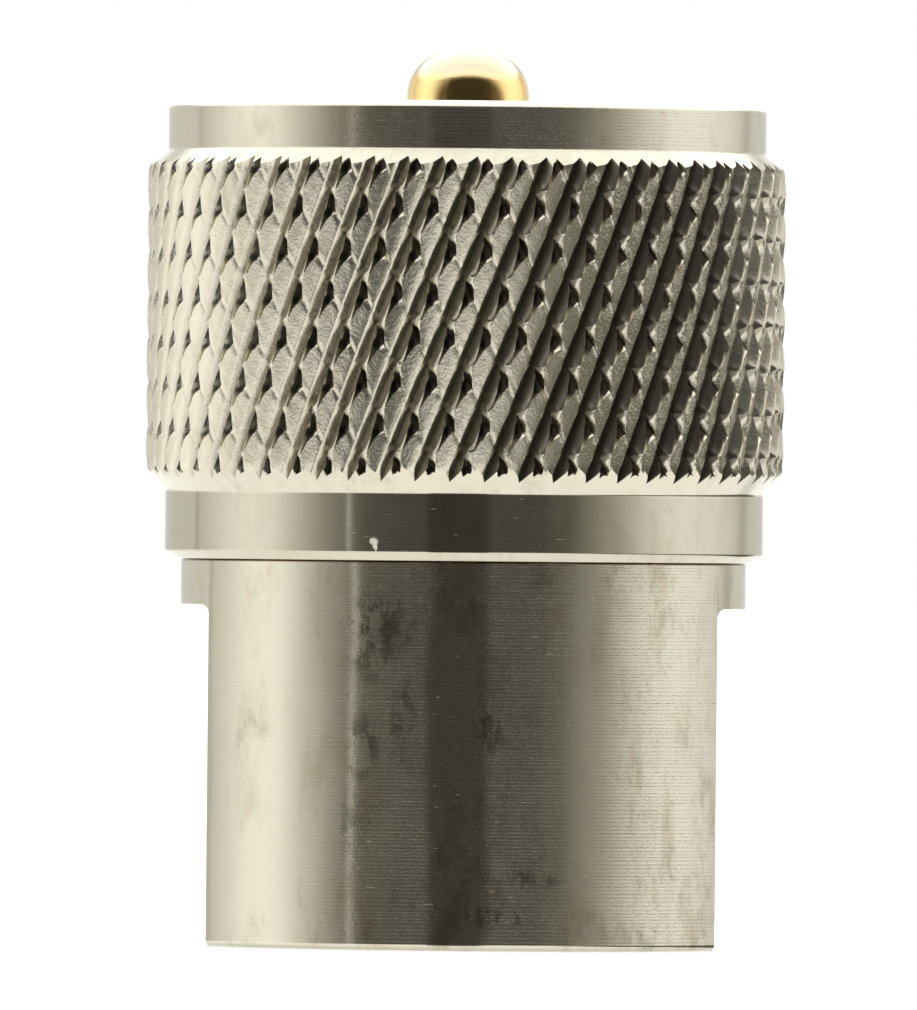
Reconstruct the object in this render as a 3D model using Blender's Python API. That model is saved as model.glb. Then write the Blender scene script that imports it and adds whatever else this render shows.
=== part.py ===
"""A coaxial plug with a captive, diamond-knurled coupling nut, standing on its cable end.

Lengths are in metres. +Z runs along the plug's axis towards the pin, and the origin is the
centre of the rear face. The front of the object looks along -Y.
"""

import math

import bmesh
import bpy
from mathutils import Matrix, Vector

MM = 0.001

# Clearances
SEAT_GAP = 0.05 * MM
BORE_GAP = 0.05 * MM
RUNNING_GAP = 0.1 * MM

# Coupling thread, 5/8 inch with 24 turns to the inch
THREAD_RADIUS = 7.9375 * MM
THREAD_PITCH = 1.058333 * MM
THREAD_DEPTH_SHARE = 0.5413

# Coupling nut, radially from the thread outwards
NUT_WALL = 0.99 * MM
BAND_RELIEF = 0.24 * MM
GROOVE_DEPTH = 0.36 * MM
NOTCH_DEPTH = 0.16 * MM
KNURL_STOCK = 0.05 * MM

# Coupling nut, along the axis from its rear face
REAR_EDGE = 0.22 * MM
LOWER_BAND = 1.88 * MM
LOWER_BEVEL = 0.68 * MM
KNURL_LENGTH = 8.82 * MM
UPPER_BEVEL = 0.56 * MM
RIM_BAND = 1.29 * MM
CROWN_RISE = 0.2 * MM
MOUTH_CHAMFER = 0.2 * MM
LIP_LENGTH = 1.1 * MM
LAND_LENGTH = 0.7 * MM
RELIEF_LENGTH = 1.1 * MM
RELIEF_DEPTH = 0.06 * MM

# Diamond knurl. Each crest stands off the middle of its cell, by these shares of a groove's spacing
KNURL_TEETH = 56
KNURL_ROW = 1.2914 * MM
KNURL_START = 0.455 * MM
KNURL_TURN = math.radians(-0.49)
CREST_ACROSS = 0.42
CREST_ALONG = 0.42

# Retaining ring
RING_THICKNESS = 0.8 * MM
RING_BITE = 0.45 * MM
RING_SEAT = 0.4 * MM
RING_FREE = 0.55 * MM
RING_OPENING = math.radians(26)
NUT_TRAVEL = 1.0 * MM

# Plug body, radially from the neck outwards and inwards
COLLAR_GAP = 0.46 * MM
SHOULDER_WIDTH = 1.53 * MM
FLAT_DEPTH = 0.89 * MM
FLAT_WALL = 0.99 * MM
GROOVE_FLOOR = 0.1 * MM
SLEEVE_WALL = 0.65 * MM
SLEEVE_LIP = 0.55 * MM

# Plug body, along the axis
BODY_LENGTH = 11.46 * MM
SHOULDER_BAND = 1.35 * MM
FLAT_CORNER = 0.25 * MM
EDGE_ROUND = 0.24 * MM
EDGE_BREAK = 0.1 * MM
COLLAR_LENGTH = 0.9 * MM
SLEEVE_LENGTH = 3.2 * MM
SLEEVE_LIP_LENGTH = 1.1 * MM

# Locating teeth on the collar
TOOTH_HEIGHT = 0.9 * MM
TOOTH_WIDTH = 1.5 * MM
TOOTH_TIP = 0.5 * MM
TOOTH_INSET = 0.2 * MM

# Contact
PIN_RADIUS = 1.98 * MM
PIN_LENGTH = 8.17 * MM
NOSE_RADIUS = 1.72 * MM
NOSE_HEIGHT = 1.05 * MM
NOSE_TAPER = 0.78 * MM
COLLAR_HEIGHT = 0.72 * MM
CONTACT_COLLAR = 0.85 * MM
CUP_BORE = 1.25 * MM
CUP_DEPTH = 3.4 * MM
CUP_OVERHANG = 0.9 * MM

# Cable gland, from the rear face inwards
GLAND_RECESS = 0.3 * MM
GLAND_LENGTH = 3.2 * MM
GLAND_WALL = 1.1 * MM
SLOT_WIDTH = 1.6 * MM
SLOT_DEPTH = 1.0 * MM
WASHER_THICKNESS = 0.5 * MM
GASKET_LENGTH = 2.8 * MM
GASKET_GRIP = 0.2 * MM
CLAMP_LENGTH = 1.2 * MM
CLAMP_STEP = 1.3 * MM
RIDGE_HEIGHT = 0.5 * MM
RIDGE_WIDTH = 0.8 * MM
REAR_INSULATOR = 3.8 * MM
INSULATOR_RECESS = 0.1 * MM

# Facets round a turned piece
NUT_FACETS = 2 * KNURL_TEETH
BORE_FACETS = 46
BODY_FACETS = 64
INNER_FACETS = 40
ARC_STEPS = 3
NOSE_STEPS = 6
MERGE = 1e-7
SMOOTH_ANGLE = math.radians(35)
ROUND_PROFILE = 0.5

# Radii that follow from the sizes above
THREAD_CREST = THREAD_RADIUS - THREAD_DEPTH_SHARE * THREAD_PITCH
BAND_RADIUS = THREAD_RADIUS + NUT_WALL
KNURL_RADIUS = BAND_RADIUS + BAND_RELIEF + GROOVE_DEPTH
NECK_RADIUS = THREAD_CREST - COLLAR_GAP
BODY_RADIUS = NECK_RADIUS + SHOULDER_WIDTH
FLAT_DISTANCE = BODY_RADIUS - FLAT_DEPTH
REAR_BORE = FLAT_DISTANCE - FLAT_WALL
LIP_BORE = NECK_RADIUS + RUNNING_GAP
RING_OUTSIDE = LIP_BORE + RING_BITE
RING_INSIDE = NECK_RADIUS - RING_SEAT
NECK_GROOVE = RING_INSIDE - RING_FREE
SLEEVE_RADIUS = NECK_GROOVE - GROOVE_FLOOR
FRONT_BORE = SLEEVE_RADIUS - SLEEVE_WALL
LIP_INSIDE = FRONT_BORE - SLEEVE_LIP
INSULATOR_RADIUS = FRONT_BORE - BORE_GAP
CONTACT_COLLAR_RADIUS = PIN_RADIUS + COLLAR_HEIGHT
GLAND_RADIUS = REAR_BORE - BORE_GAP
GLAND_BORE = GLAND_RADIUS - GLAND_WALL
GASKET_BORE = GLAND_BORE - GASKET_GRIP
CLAMP_BORE = GLAND_BORE - CLAMP_STEP

# Heights that follow, from the rear face up
GLAND_REAR = GLAND_RECESS
WASHER_REAR = GLAND_REAR + GLAND_LENGTH + SEAT_GAP
GASKET_REAR = WASHER_REAR + WASHER_THICKNESS + SEAT_GAP
CLAMP_REAR = GASKET_REAR + GASKET_LENGTH + SEAT_GAP
CLAMP_SEAT = CLAMP_REAR + CLAMP_LENGTH + SEAT_GAP
CUP_REAR = CLAMP_SEAT - CUP_OVERHANG
FRONT_INSULATOR_REAR = CLAMP_SEAT + REAR_INSULATOR + SEAT_GAP
CONTACT_COLLAR_FRONT = FRONT_INSULATOR_REAR - SEAT_GAP
NUT_REAR = BODY_LENGTH + SEAT_GAP
RING_REAR = NUT_REAR + LIP_LENGTH + SEAT_GAP
NECK_GROOVE_REAR = RING_REAR - SEAT_GAP
NECK_GROOVE_FRONT = RING_REAR + RING_THICKNESS + NUT_TRAVEL + SEAT_GAP
MATING_FACE = NECK_GROOVE_FRONT + COLLAR_LENGTH
SLEEVE_FRONT = MATING_FACE + SLEEVE_LENGTH
PIN_TIP = SLEEVE_FRONT + PIN_LENGTH


def clear_scene():
    """Leaves the file empty."""
    for existing in list(bpy.data.objects):
        bpy.data.objects.remove(existing, do_unlink=True)


def metal_or_plastic(name, colour, roughness, metallic):
    """A Principled material of one colour."""
    material = bpy.data.materials.new(name)
    material.use_nodes = True
    shader = material.node_tree.nodes["Principled BSDF"]
    shader.inputs["Base Color"].default_value = (*colour, 1.0)
    shader.inputs["Roughness"].default_value = roughness
    shader.inputs["Metallic"].default_value = metallic
    return material


def empty_at(name, height, parent=None):
    """An empty on the plug's axis, which carries the pieces that move together."""
    carrier = bpy.data.objects.new(name, None)
    carrier.location.z = height
    carrier.parent = parent
    bpy.context.scene.collection.objects.link(carrier)
    return carrier


def placed(name, form, height, parent, material=None):
    """Makes an object of a bmesh, stands it at its height and hangs it on its carrier."""
    bmesh.ops.remove_doubles(form, verts=form.verts, dist=MERGE)
    bmesh.ops.recalc_face_normals(form, faces=form.faces)
    mesh = bpy.data.meshes.new(name)
    form.to_mesh(mesh)
    form.free()
    mesh.shade_smooth()
    mesh.set_sharp_from_angle(angle=SMOOTH_ANGLE)
    piece = bpy.data.objects.new(name, mesh)
    piece.parent = parent
    piece.location.z = height - (parent.matrix_world.translation.z if parent else 0.0)
    bpy.context.scene.collection.objects.link(piece)
    bpy.context.view_layer.update()
    if material:
        mesh.materials.append(material)
    return piece


def cutter(name, form, height, parent):
    """An object that only shapes another one."""
    tool = placed(name, form, height, parent)
    tool.hide_render = True
    tool.display_type = "WIRE"
    return tool


def apply_boolean(piece, tool, operation):
    """Adds the Boolean that cuts the tool from the piece, or joins it on."""
    modifier = piece.modifiers.new(tool.name, "BOOLEAN")
    modifier.operation = operation
    modifier.object = tool


def turned(outline, facets, angle=math.tau, start=0.0):
    """Spins a closed outline of (radius, height) points about the axis."""
    form = bmesh.new()
    turn = Matrix.Rotation(start, 3, "Z")
    corners = [form.verts.new(turn @ Vector((r, 0.0, z))) for r, z in outline]
    sides = []
    for first, second in zip(corners, corners[1:] + corners[:1]):
        if max(first.co.xy.length, second.co.xy.length) > MERGE:
            sides.append(form.edges.new((first, second)))
    whole = angle == math.tau
    bmesh.ops.spin(
        form, geom=corners + sides, cent=(0, 0, 0), axis=(0, 0, 1),
        angle=angle, steps=facets, use_merge=whole,
    )
    if not whole:
        open_ends = [edge for edge in form.edges if edge.is_boundary]
        bmesh.ops.holes_fill(form, edges=open_ends)
    return form


def arc(centre, radii, first, last, steps):
    """Points along a quarter of an ellipse, as (radius, height)."""
    points = []
    for step in range(steps + 1):
        angle = first + (last - first) * step / steps
        radius = centre[0] + radii[0] * math.cos(angle)
        height = centre[1] + radii[1] * math.sin(angle)
        points.append((radius, height))
    return points


def box(low, high):
    """A rectangular block between two corners."""
    form = bmesh.new()
    size = Vector(high) - Vector(low)
    middle = (Vector(high) + Vector(low)) / 2
    place = Matrix.Translation(middle) @ Matrix.Diagonal((*size, 1.0))
    bmesh.ops.create_cube(form, size=1.0, matrix=place)
    return form


def nut_blank():
    """The nut before it is bored and knurled: two bands, two bevels and a crowned front face."""
    lower_bevel = REAR_EDGE + LOWER_BAND
    knurl = lower_bevel + LOWER_BEVEL
    upper_bevel = knurl + KNURL_LENGTH
    rim = upper_bevel + UPPER_BEVEL
    front = rim + RIM_BAND
    rise = KNURL_RADIUS - BAND_RADIUS
    stock = KNURL_RADIUS + KNURL_STOCK
    core = NECK_RADIUS
    outline = [
        (core, 0.0),
        (BAND_RADIUS - REAR_EDGE, 0.0),
        (BAND_RADIUS, REAR_EDGE),
        (BAND_RADIUS, lower_bevel),
        (stock, knurl + KNURL_STOCK * LOWER_BEVEL / rise),
        (stock, upper_bevel - KNURL_STOCK * UPPER_BEVEL / rise),
        (BAND_RADIUS, rim),
        (BAND_RADIUS, front),
        (THREAD_CREST + MOUTH_CHAMFER, front + CROWN_RISE),
        (core, front + CROWN_RISE),
    ]
    return turned(outline, NUT_FACETS, start=math.pi / NUT_FACETS / 2)


def nut_length():
    """The nut from its rear face to the top of its crown."""
    bands = REAR_EDGE + LOWER_BAND + LOWER_BEVEL + KNURL_LENGTH + UPPER_BEVEL + RIM_BAND
    return bands + CROWN_RISE


def nut_bore():
    """What is bored out of the nut: lip, ring groove, land, thread relief, thread and mouth."""
    groove = RING_OUTSIDE + BORE_GAP
    groove_front = LIP_LENGTH + RING_THICKNESS + 2 * SEAT_GAP
    relief = groove_front + LAND_LENGTH
    relief_front = relief + RELIEF_LENGTH
    relief_radius = THREAD_RADIUS + RELIEF_DEPTH
    front = nut_length()
    beyond = MOUTH_CHAMFER
    outline = [
        (0.0, -beyond),
        (LIP_BORE + EDGE_BREAK + beyond, -beyond),
        (LIP_BORE, EDGE_BREAK),
        (LIP_BORE, LIP_LENGTH),
        (groove, LIP_LENGTH),
        (groove, groove_front),
        (THREAD_CREST, groove_front),
        (THREAD_CREST, relief),
        (relief_radius, relief),
        (relief_radius, relief_front),
        (THREAD_CREST, relief_front),
        (THREAD_CREST, front - MOUTH_CHAMFER),
        (THREAD_CREST + MOUTH_CHAMFER + beyond, front + beyond),
        (0.0, front + beyond),
    ]
    return turned(outline, BORE_FACETS)


def knurl_radius(column, row):
    """Distance from the axis at a point of the knurl's lattice.

    Half the points lie on a groove. The grooves that rise to the right are deep and run
    through. Those that rise to the left are shallower, and only notch the ridges between.
    """
    on_left_groove = (column + row) % 4 == 0
    on_right_groove = (column - row) % 4 == 0
    if on_right_groove:
        return KNURL_RADIUS - GROOVE_DEPTH
    if on_left_groove:
        return KNURL_RADIUS - NOTCH_DEPTH
    return KNURL_RADIUS


def knurl_place(column, row):
    """Where a lattice point lies, in steps round the nut and in steps up it.

    Points between two grooves are moved off the middle, which makes one flank of each ridge
    steep and the other a long slope.
    """
    right_groove, past_right = divmod(column - row, 4)
    left_groove, past_left = divmod(column + row, 4)
    across = right_groove + (CREST_ACROSS if past_right else 0)
    along = left_groove + (CREST_ALONG if past_left else 0)
    return 2 * (along + across), 2 * (along - across)


def knurl_cutter():
    """The ring of metal that the two knurling wheels press and shave away.

    Its inner wall is the knurl, as a lattice with a point at each crest, each crossing and
    between crossings. Each cell of four points is folded from its crossing to its crest. The
    wall runs out past both bevels, which it cuts to a saw edge.
    """
    form = bmesh.new()
    bottom = REAR_EDGE + LOWER_BAND
    knurl = bottom + LOWER_BEVEL
    top = knurl + KNURL_LENGTH + UPPER_BEVEL
    step_up = KNURL_ROW / 2
    first_row = math.floor((bottom - knurl - KNURL_START) / step_up) - 1
    last_row = math.ceil((top - knurl - KNURL_START) / step_up) + 1
    step_round = math.tau / (4 * KNURL_TEETH)
    points = {}
    for row in range(first_row, last_row + 1):
        for column in range(row % 2, 4 * KNURL_TEETH, 2):
            steps, rise = knurl_place(column, row)
            angle = KNURL_TURN + steps * step_round - math.pi / 2
            height = knurl + KNURL_START + rise * step_up
            radius = knurl_radius(column, row)
            place = (radius * math.cos(angle), radius * math.sin(angle), height)
            points[column, row] = form.verts.new(place)
    for row in range(first_row, last_row + 1):
        for column in range((row + 1) % 2, 4 * KNURL_TEETH, 2):
            left = points[(column - 1) % (4 * KNURL_TEETH), row]
            right = points[(column + 1) % (4 * KNURL_TEETH), row]
            below = points.get((column, row - 1))
            above = points.get((column, row + 1))
            if row % 2 and above and below:
                form.faces.new((below, right, above))
                form.faces.new((below, above, left))
                continue
            if above:
                form.faces.new((left, right, above))
            if below:
                form.faces.new((left, below, right))
    outer = KNURL_RADIUS + NUT_WALL
    outer_rings = []
    for row in (first_row, last_row):
        end = {point for (_, at), point in points.items() if at == row}
        loop = [edge for edge in form.edges if edge.is_boundary and set(edge.verts) <= end]
        grown = bmesh.ops.extrude_edge_only(form, edges=loop)["geom"]
        moved = {item for item in grown if isinstance(item, bmesh.types.BMVert)}
        for point in moved:
            point.co.xy = point.co.xy.normalized() * outer
        outer_rings += [edge for edge in form.edges if set(edge.verts) <= moved]
    bmesh.ops.bridge_loops(form, edges=outer_rings)
    return form


def coupling_nut(carrier, material):
    """The captive nut: a turned blank, bored and threaded from the front, with a diamond knurl."""
    nut = placed("coupling_nut", nut_blank(), NUT_REAR, carrier, material)
    apply_boolean(nut, cutter("nut_bore", nut_bore(), NUT_REAR, carrier), "DIFFERENCE")
    apply_boolean(nut, cutter("knurl_cut", knurl_cutter(), NUT_REAR, carrier), "DIFFERENCE")
    return nut


def retaining_ring(carrier, material):
    """The open spring ring that hangs the nut on the neck."""
    outline = [
        (RING_INSIDE, 0.0),
        (RING_OUTSIDE, 0.0),
        (RING_OUTSIDE, RING_THICKNESS),
        (RING_INSIDE, RING_THICKNESS),
    ]
    form = turned(outline, INNER_FACETS, math.tau - RING_OPENING, RING_OPENING / 2)
    return placed("retaining_ring", form, RING_REAR, carrier, material)


def body_blank():
    """The plug body as it is turned: wide cable end, grooved neck, collar and thin front sleeve."""
    rear_round = arc(
        (BODY_RADIUS - EDGE_ROUND, EDGE_ROUND), (EDGE_ROUND, EDGE_ROUND),
        -math.pi / 2, 0.0, ARC_STEPS,
    )
    outline = [
        *rear_round,
        (BODY_RADIUS, BODY_LENGTH - EDGE_BREAK),
        (BODY_RADIUS - EDGE_BREAK, BODY_LENGTH),
        (NECK_RADIUS, BODY_LENGTH),
        (NECK_RADIUS, NECK_GROOVE_REAR),
        (NECK_GROOVE, NECK_GROOVE_REAR),
        (NECK_GROOVE, NECK_GROOVE_FRONT),
        (NECK_RADIUS, NECK_GROOVE_FRONT),
        (NECK_RADIUS, MATING_FACE - EDGE_BREAK),
        (NECK_RADIUS - EDGE_BREAK, MATING_FACE),
        (SLEEVE_RADIUS, MATING_FACE),
        (SLEEVE_RADIUS, SLEEVE_FRONT - EDGE_BREAK),
        (SLEEVE_RADIUS - EDGE_BREAK, SLEEVE_FRONT),
        (LIP_INSIDE, SLEEVE_FRONT),
        (LIP_INSIDE, SLEEVE_FRONT - SLEEVE_LIP_LENGTH),
        (FRONT_BORE, SLEEVE_FRONT - SLEEVE_LIP_LENGTH),
        (FRONT_BORE, CLAMP_SEAT),
        (REAR_BORE, CLAMP_SEAT),
        (REAR_BORE, EDGE_BREAK),
        (REAR_BORE + EDGE_BREAK, 0.0),
    ]
    return turned(outline, BODY_FACETS)


def flat_cutter(side):
    """The block that mills one wrench flat, with the round corner that the mill leaves."""
    reach = 2 * BODY_RADIUS
    top = BODY_LENGTH - SHOULDER_BAND
    form = box((FLAT_DISTANCE, -reach, -reach), (FLAT_DISTANCE + reach, reach, top))
    corner = [
        edge for edge in form.edges
        if all(abs(end.co.x - FLAT_DISTANCE) < MERGE and abs(end.co.z - top) < MERGE for end in edge.verts)
    ]
    bmesh.ops.bevel(
        form, geom=corner, offset=FLAT_CORNER, segments=ARC_STEPS, profile=ROUND_PROFILE, affect="EDGES"
    )
    bmesh.ops.rotate(form, verts=form.verts, matrix=Matrix.Rotation(side, 3, "Z"))
    return form


def locating_tooth(side):
    """One of the two wedges on the collar that drop into the notches of the socket's rim."""
    inner = SLEEVE_RADIUS - TOOTH_INSET
    outer = NECK_RADIUS - TOOTH_INSET
    form = box((inner, -TOOTH_WIDTH / 2, -TOOTH_INSET), (outer, TOOTH_WIDTH / 2, TOOTH_HEIGHT))
    for corner in form.verts:
        if corner.co.z > 0:
            corner.co.y *= TOOTH_TIP / TOOTH_WIDTH
    bmesh.ops.rotate(form, verts=form.verts, matrix=Matrix.Rotation(side, 3, "Z"))
    return form


def plug_body(carrier, material):
    """The body: turned in one piece, with two milled wrench flats and two locating teeth."""
    body = placed("plug_body", body_blank(), 0.0, carrier, material)
    for number, side in enumerate((0.0, math.pi), start=1):
        flat = cutter(f"flat_cut_{number}", flat_cutter(side), 0.0, carrier)
        apply_boolean(body, flat, "DIFFERENCE")
        tooth = cutter(f"tooth_{number}", locating_tooth(side), MATING_FACE, carrier)
        apply_boolean(body, tooth, "UNION")
    return body


def front_insulator(carrier, material):
    """The insulator that fills the sleeve, stepped so that the sleeve's lip holds it."""
    bore = PIN_RADIUS + BORE_GAP
    nose = LIP_INSIDE - BORE_GAP
    step = SLEEVE_FRONT - SLEEVE_LIP_LENGTH - SEAT_GAP - FRONT_INSULATOR_REAR
    front = SLEEVE_FRONT - INSULATOR_RECESS - FRONT_INSULATOR_REAR
    outline = [
        (bore, 0.0),
        (INSULATOR_RADIUS, 0.0),
        (INSULATOR_RADIUS, step),
        (nose, step),
        (nose, front),
        (bore, front),
    ]
    form = turned(outline, INNER_FACETS)
    return placed("front_insulator", form, FRONT_INSULATOR_REAR, carrier, material)


def rear_insulator(carrier, material):
    """The insulator behind the contact's collar, counterbored to hold it."""
    bore = PIN_RADIUS + BORE_GAP
    pocket = CONTACT_COLLAR_RADIUS + BORE_GAP
    floor = REAR_INSULATOR - CONTACT_COLLAR - 2 * SEAT_GAP
    outline = [
        (bore, 0.0),
        (INSULATOR_RADIUS, 0.0),
        (INSULATOR_RADIUS, REAR_INSULATOR),
        (pocket, REAR_INSULATOR),
        (pocket, floor),
        (bore, floor),
    ]
    form = turned(outline, INNER_FACETS)
    return placed("rear_insulator", form, CLAMP_SEAT, carrier, material)


def centre_contact(carrier, material):
    """The pin with its domed nose, the collar that traps it and the solder cup at its rear."""
    tip = PIN_TIP - CUP_REAR
    collar_front = CONTACT_COLLAR_FRONT - SEAT_GAP - CUP_REAR
    collar_rear = collar_front - CONTACT_COLLAR
    shank = tip - NOSE_HEIGHT - NOSE_TAPER
    dome = arc((0.0, tip - NOSE_HEIGHT), (NOSE_RADIUS, NOSE_HEIGHT), 0.0, math.pi / 2, NOSE_STEPS)
    outline = [
        (0.0, CUP_DEPTH),
        (CUP_BORE, CUP_DEPTH),
        (CUP_BORE, 0.0),
        (PIN_RADIUS, 0.0),
        (PIN_RADIUS, collar_rear),
        (CONTACT_COLLAR_RADIUS, collar_rear),
        (CONTACT_COLLAR_RADIUS, collar_front),
        (PIN_RADIUS, collar_front),
        (PIN_RADIUS, shank),
        *dome,
    ]
    return placed("centre_contact", turned(outline, INNER_FACETS), CUP_REAR, carrier, material)


def ridge_profile(height):
    """The three points of the V that the clamp and the gasket share, outer one first."""
    middle = (GASKET_BORE + GLAND_RADIUS) / 2
    return [
        (middle + RIDGE_WIDTH / 2, height),
        (middle, height - RIDGE_HEIGHT),
        (middle - RIDGE_WIDTH / 2, height),
    ]


def braid_clamp(carrier, material):
    """The ring that nips the cable's braid against the gasket, with a V ridge at its rear."""
    outline = [
        (CLAMP_BORE, 0.0),
        (CLAMP_BORE, CLAMP_LENGTH),
        (GLAND_RADIUS, CLAMP_LENGTH),
        (GLAND_RADIUS, 0.0),
        *ridge_profile(0.0),
    ]
    return placed("braid_clamp", turned(outline, INNER_FACETS), CLAMP_REAR, carrier, material)


def cable_gasket(carrier, material):
    """The rubber seal that grips the cable's jacket, with the groove that the ridge enters."""
    outline = [
        (GASKET_BORE, 0.0),
        (GASKET_BORE, GASKET_LENGTH),
        *reversed(ridge_profile(GASKET_LENGTH)),
        (GLAND_RADIUS, GASKET_LENGTH),
        (GLAND_RADIUS, 0.0),
    ]
    return placed("cable_gasket", turned(outline, INNER_FACETS), GASKET_REAR, carrier, material)


def slip_washer(carrier, material):
    """The washer that keeps the turning gland nut from dragging the gasket round."""
    outline = [
        (GLAND_BORE, 0.0),
        (GLAND_RADIUS, 0.0),
        (GLAND_RADIUS, WASHER_THICKNESS),
        (GLAND_BORE, WASHER_THICKNESS),
    ]
    return placed("slip_washer", turned(outline, INNER_FACETS), WASHER_REAR, carrier, material)


def gland_nut(carrier, material):
    """The ring nut that closes the gland, with a slot across its rear face for a key."""
    outline = [
        (GLAND_BORE + EDGE_BREAK, 0.0),
        (GLAND_RADIUS - EDGE_BREAK, 0.0),
        (GLAND_RADIUS, EDGE_BREAK),
        (GLAND_RADIUS, GLAND_LENGTH),
        (GLAND_BORE, GLAND_LENGTH),
        (GLAND_BORE, EDGE_BREAK),
    ]
    nut = placed("gland_nut", turned(outline, INNER_FACETS), GLAND_REAR, carrier, material)
    reach = 2 * GLAND_RADIUS
    slot = box((-reach, -SLOT_WIDTH / 2, -SLOT_DEPTH), (reach, SLOT_WIDTH / 2, SLOT_DEPTH))
    apply_boolean(nut, cutter("slot_cut", slot, GLAND_REAR, carrier), "DIFFERENCE")
    return nut


def build():
    """Makes every piece and hangs it on the plug or on the nut's carrier."""
    clear_scene()
    nickel_nut = metal_or_plastic("nickel_knurled", (0.62, 0.59, 0.52), 0.3, 1.0)
    nickel_body = metal_or_plastic("nickel_turned", (0.62, 0.59, 0.51), 0.28, 1.0)
    bronze = metal_or_plastic("spring_bronze", (0.55, 0.42, 0.26), 0.35, 1.0)
    gold = metal_or_plastic("gold_plate", (0.93, 0.75, 0.38), 0.16, 1.0)
    white_plastic = metal_or_plastic("white_insulator", (0.86, 0.86, 0.84), 0.45, 0.0)
    rear_plastic = metal_or_plastic("rear_insulator", (0.84, 0.84, 0.82), 0.5, 0.0)
    clamp_metal = metal_or_plastic("nickel_clamp", (0.6, 0.58, 0.52), 0.35, 1.0)
    black_rubber = metal_or_plastic("black_rubber", (0.03, 0.03, 0.03), 0.7, 0.0)
    washer_metal = metal_or_plastic("nickel_washer", (0.62, 0.6, 0.55), 0.3, 1.0)
    gland_metal = metal_or_plastic("nickel_gland", (0.6, 0.57, 0.5), 0.32, 1.0)
    plug = empty_at("plug", 0.0)
    nut_carrier = empty_at("nut_carrier", NUT_REAR, plug)
    bpy.context.view_layer.update()
    coupling_nut(nut_carrier, nickel_nut)
    retaining_ring(nut_carrier, bronze)
    plug_body(plug, nickel_body)
    front_insulator(plug, white_plastic)
    rear_insulator(plug, rear_plastic)
    centre_contact(plug, gold)
    braid_clamp(plug, clamp_metal)
    cable_gasket(plug, black_rubber)
    slip_washer(plug, washer_metal)
    gland_nut(plug, gland_metal)


build()
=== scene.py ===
import math

import bmesh
import bpy
import numpy as np
from mathutils import Matrix, Vector, noise


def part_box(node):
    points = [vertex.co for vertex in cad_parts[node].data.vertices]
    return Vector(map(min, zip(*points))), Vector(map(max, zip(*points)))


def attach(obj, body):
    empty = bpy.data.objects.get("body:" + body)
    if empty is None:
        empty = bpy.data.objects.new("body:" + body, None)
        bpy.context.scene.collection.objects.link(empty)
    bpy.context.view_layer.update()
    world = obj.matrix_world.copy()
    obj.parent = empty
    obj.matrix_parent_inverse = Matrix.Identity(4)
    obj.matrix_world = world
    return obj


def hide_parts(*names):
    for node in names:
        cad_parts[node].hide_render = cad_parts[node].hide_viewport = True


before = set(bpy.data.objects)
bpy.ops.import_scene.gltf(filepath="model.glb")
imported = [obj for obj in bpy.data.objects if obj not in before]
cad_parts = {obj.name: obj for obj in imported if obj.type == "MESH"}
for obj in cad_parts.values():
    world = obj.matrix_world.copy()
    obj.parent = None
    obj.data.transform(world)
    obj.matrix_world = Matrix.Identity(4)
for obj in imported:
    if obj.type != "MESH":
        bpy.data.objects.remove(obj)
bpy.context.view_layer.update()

MM = 0.001
PER_MM = 1 / MM
INCH = 0.0254

# Photograph: its size in pixels, the size of a pixel at the plug, and where the plug stands in it
PHOTO_WIDTH = 917
PHOTO_HEIGHT = 1010
PIXEL = 0.02977 * MM
BASE_ROW = 947.2
AXIS_COLUMN = 464.1
LEAN = math.radians(0.56)
CAMERA_DISTANCE = 878 * MM
SENSOR = 36.0

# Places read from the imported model
NUT_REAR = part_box("coupling_nut")[0][2]
NUT_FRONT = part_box("coupling_nut")[1][2]
BODY_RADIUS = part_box("plug_body")[1][1]
SLEEVE_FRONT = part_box("plug_body")[1][2]
RING_LOW, RING_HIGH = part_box("retaining_ring")
FRONT_LOW, FRONT_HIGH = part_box("front_insulator")
REAR_LOW, REAR_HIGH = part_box("rear_insulator")
PIN_LOW, PIN_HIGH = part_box("centre_contact")
CLAMP_LOW, CLAMP_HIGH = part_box("braid_clamp")
GASKET_LOW, GASKET_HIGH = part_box("cable_gasket")
WASHER_LOW, WASHER_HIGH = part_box("slip_washer")
GLAND_LOW, GLAND_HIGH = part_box("gland_nut")

# Clearances
SEAT_GAP = 0.05 * MM
BORE_GAP = 0.05 * MM

# Coupling thread, 5/8 inch with 24 turns to the inch
THREAD_RADIUS = 5 / 16 * INCH
THREAD_PITCH = INCH / 24
THREAD_CREST = THREAD_RADIUS - 0.5413 * THREAD_PITCH
THREAD_ROOT_FLAT = THREAD_PITCH / 8
THREAD_STEPS = 96
THREAD_FLANK = math.radians(30)
TAP_OVERLAP = 0.15 * MM

# Coupling nut, radially
BAND_RADIUS = THREAD_RADIUS + 0.99 * MM
KNURL_RADIUS = BAND_RADIUS + 0.6 * MM
KNURL_STOCK = 0.05 * MM
LIP_BORE = 7.0046 * MM
RING_GROOVE = RING_HIGH[1] + BORE_GAP
RELIEF_RADIUS = THREAD_RADIUS + 0.06 * MM

# Coupling nut, along the axis from its rear face
REAR_EDGE = 0.22 * MM
LOWER_BAND = 1.8 * MM
LOWER_BEVEL = 0.76 * MM
KNURL_LENGTH = 8.82 * MM
UPPER_BEVEL = 0.56 * MM
RIM_BAND = 1.29 * MM
MOUTH_CHAMFER = 0.2 * MM
LIP_LENGTH = 1.1 * MM
RING_ROOM = 0.9 * MM
LAND_LENGTH = 0.7 * MM
RELIEF_LENGTH = 1.1 * MM
EDGE_BREAK = 0.1 * MM
SOFT_EDGE = 0.05 * MM
RIM_CORNER = 0.08 * MM

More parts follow.
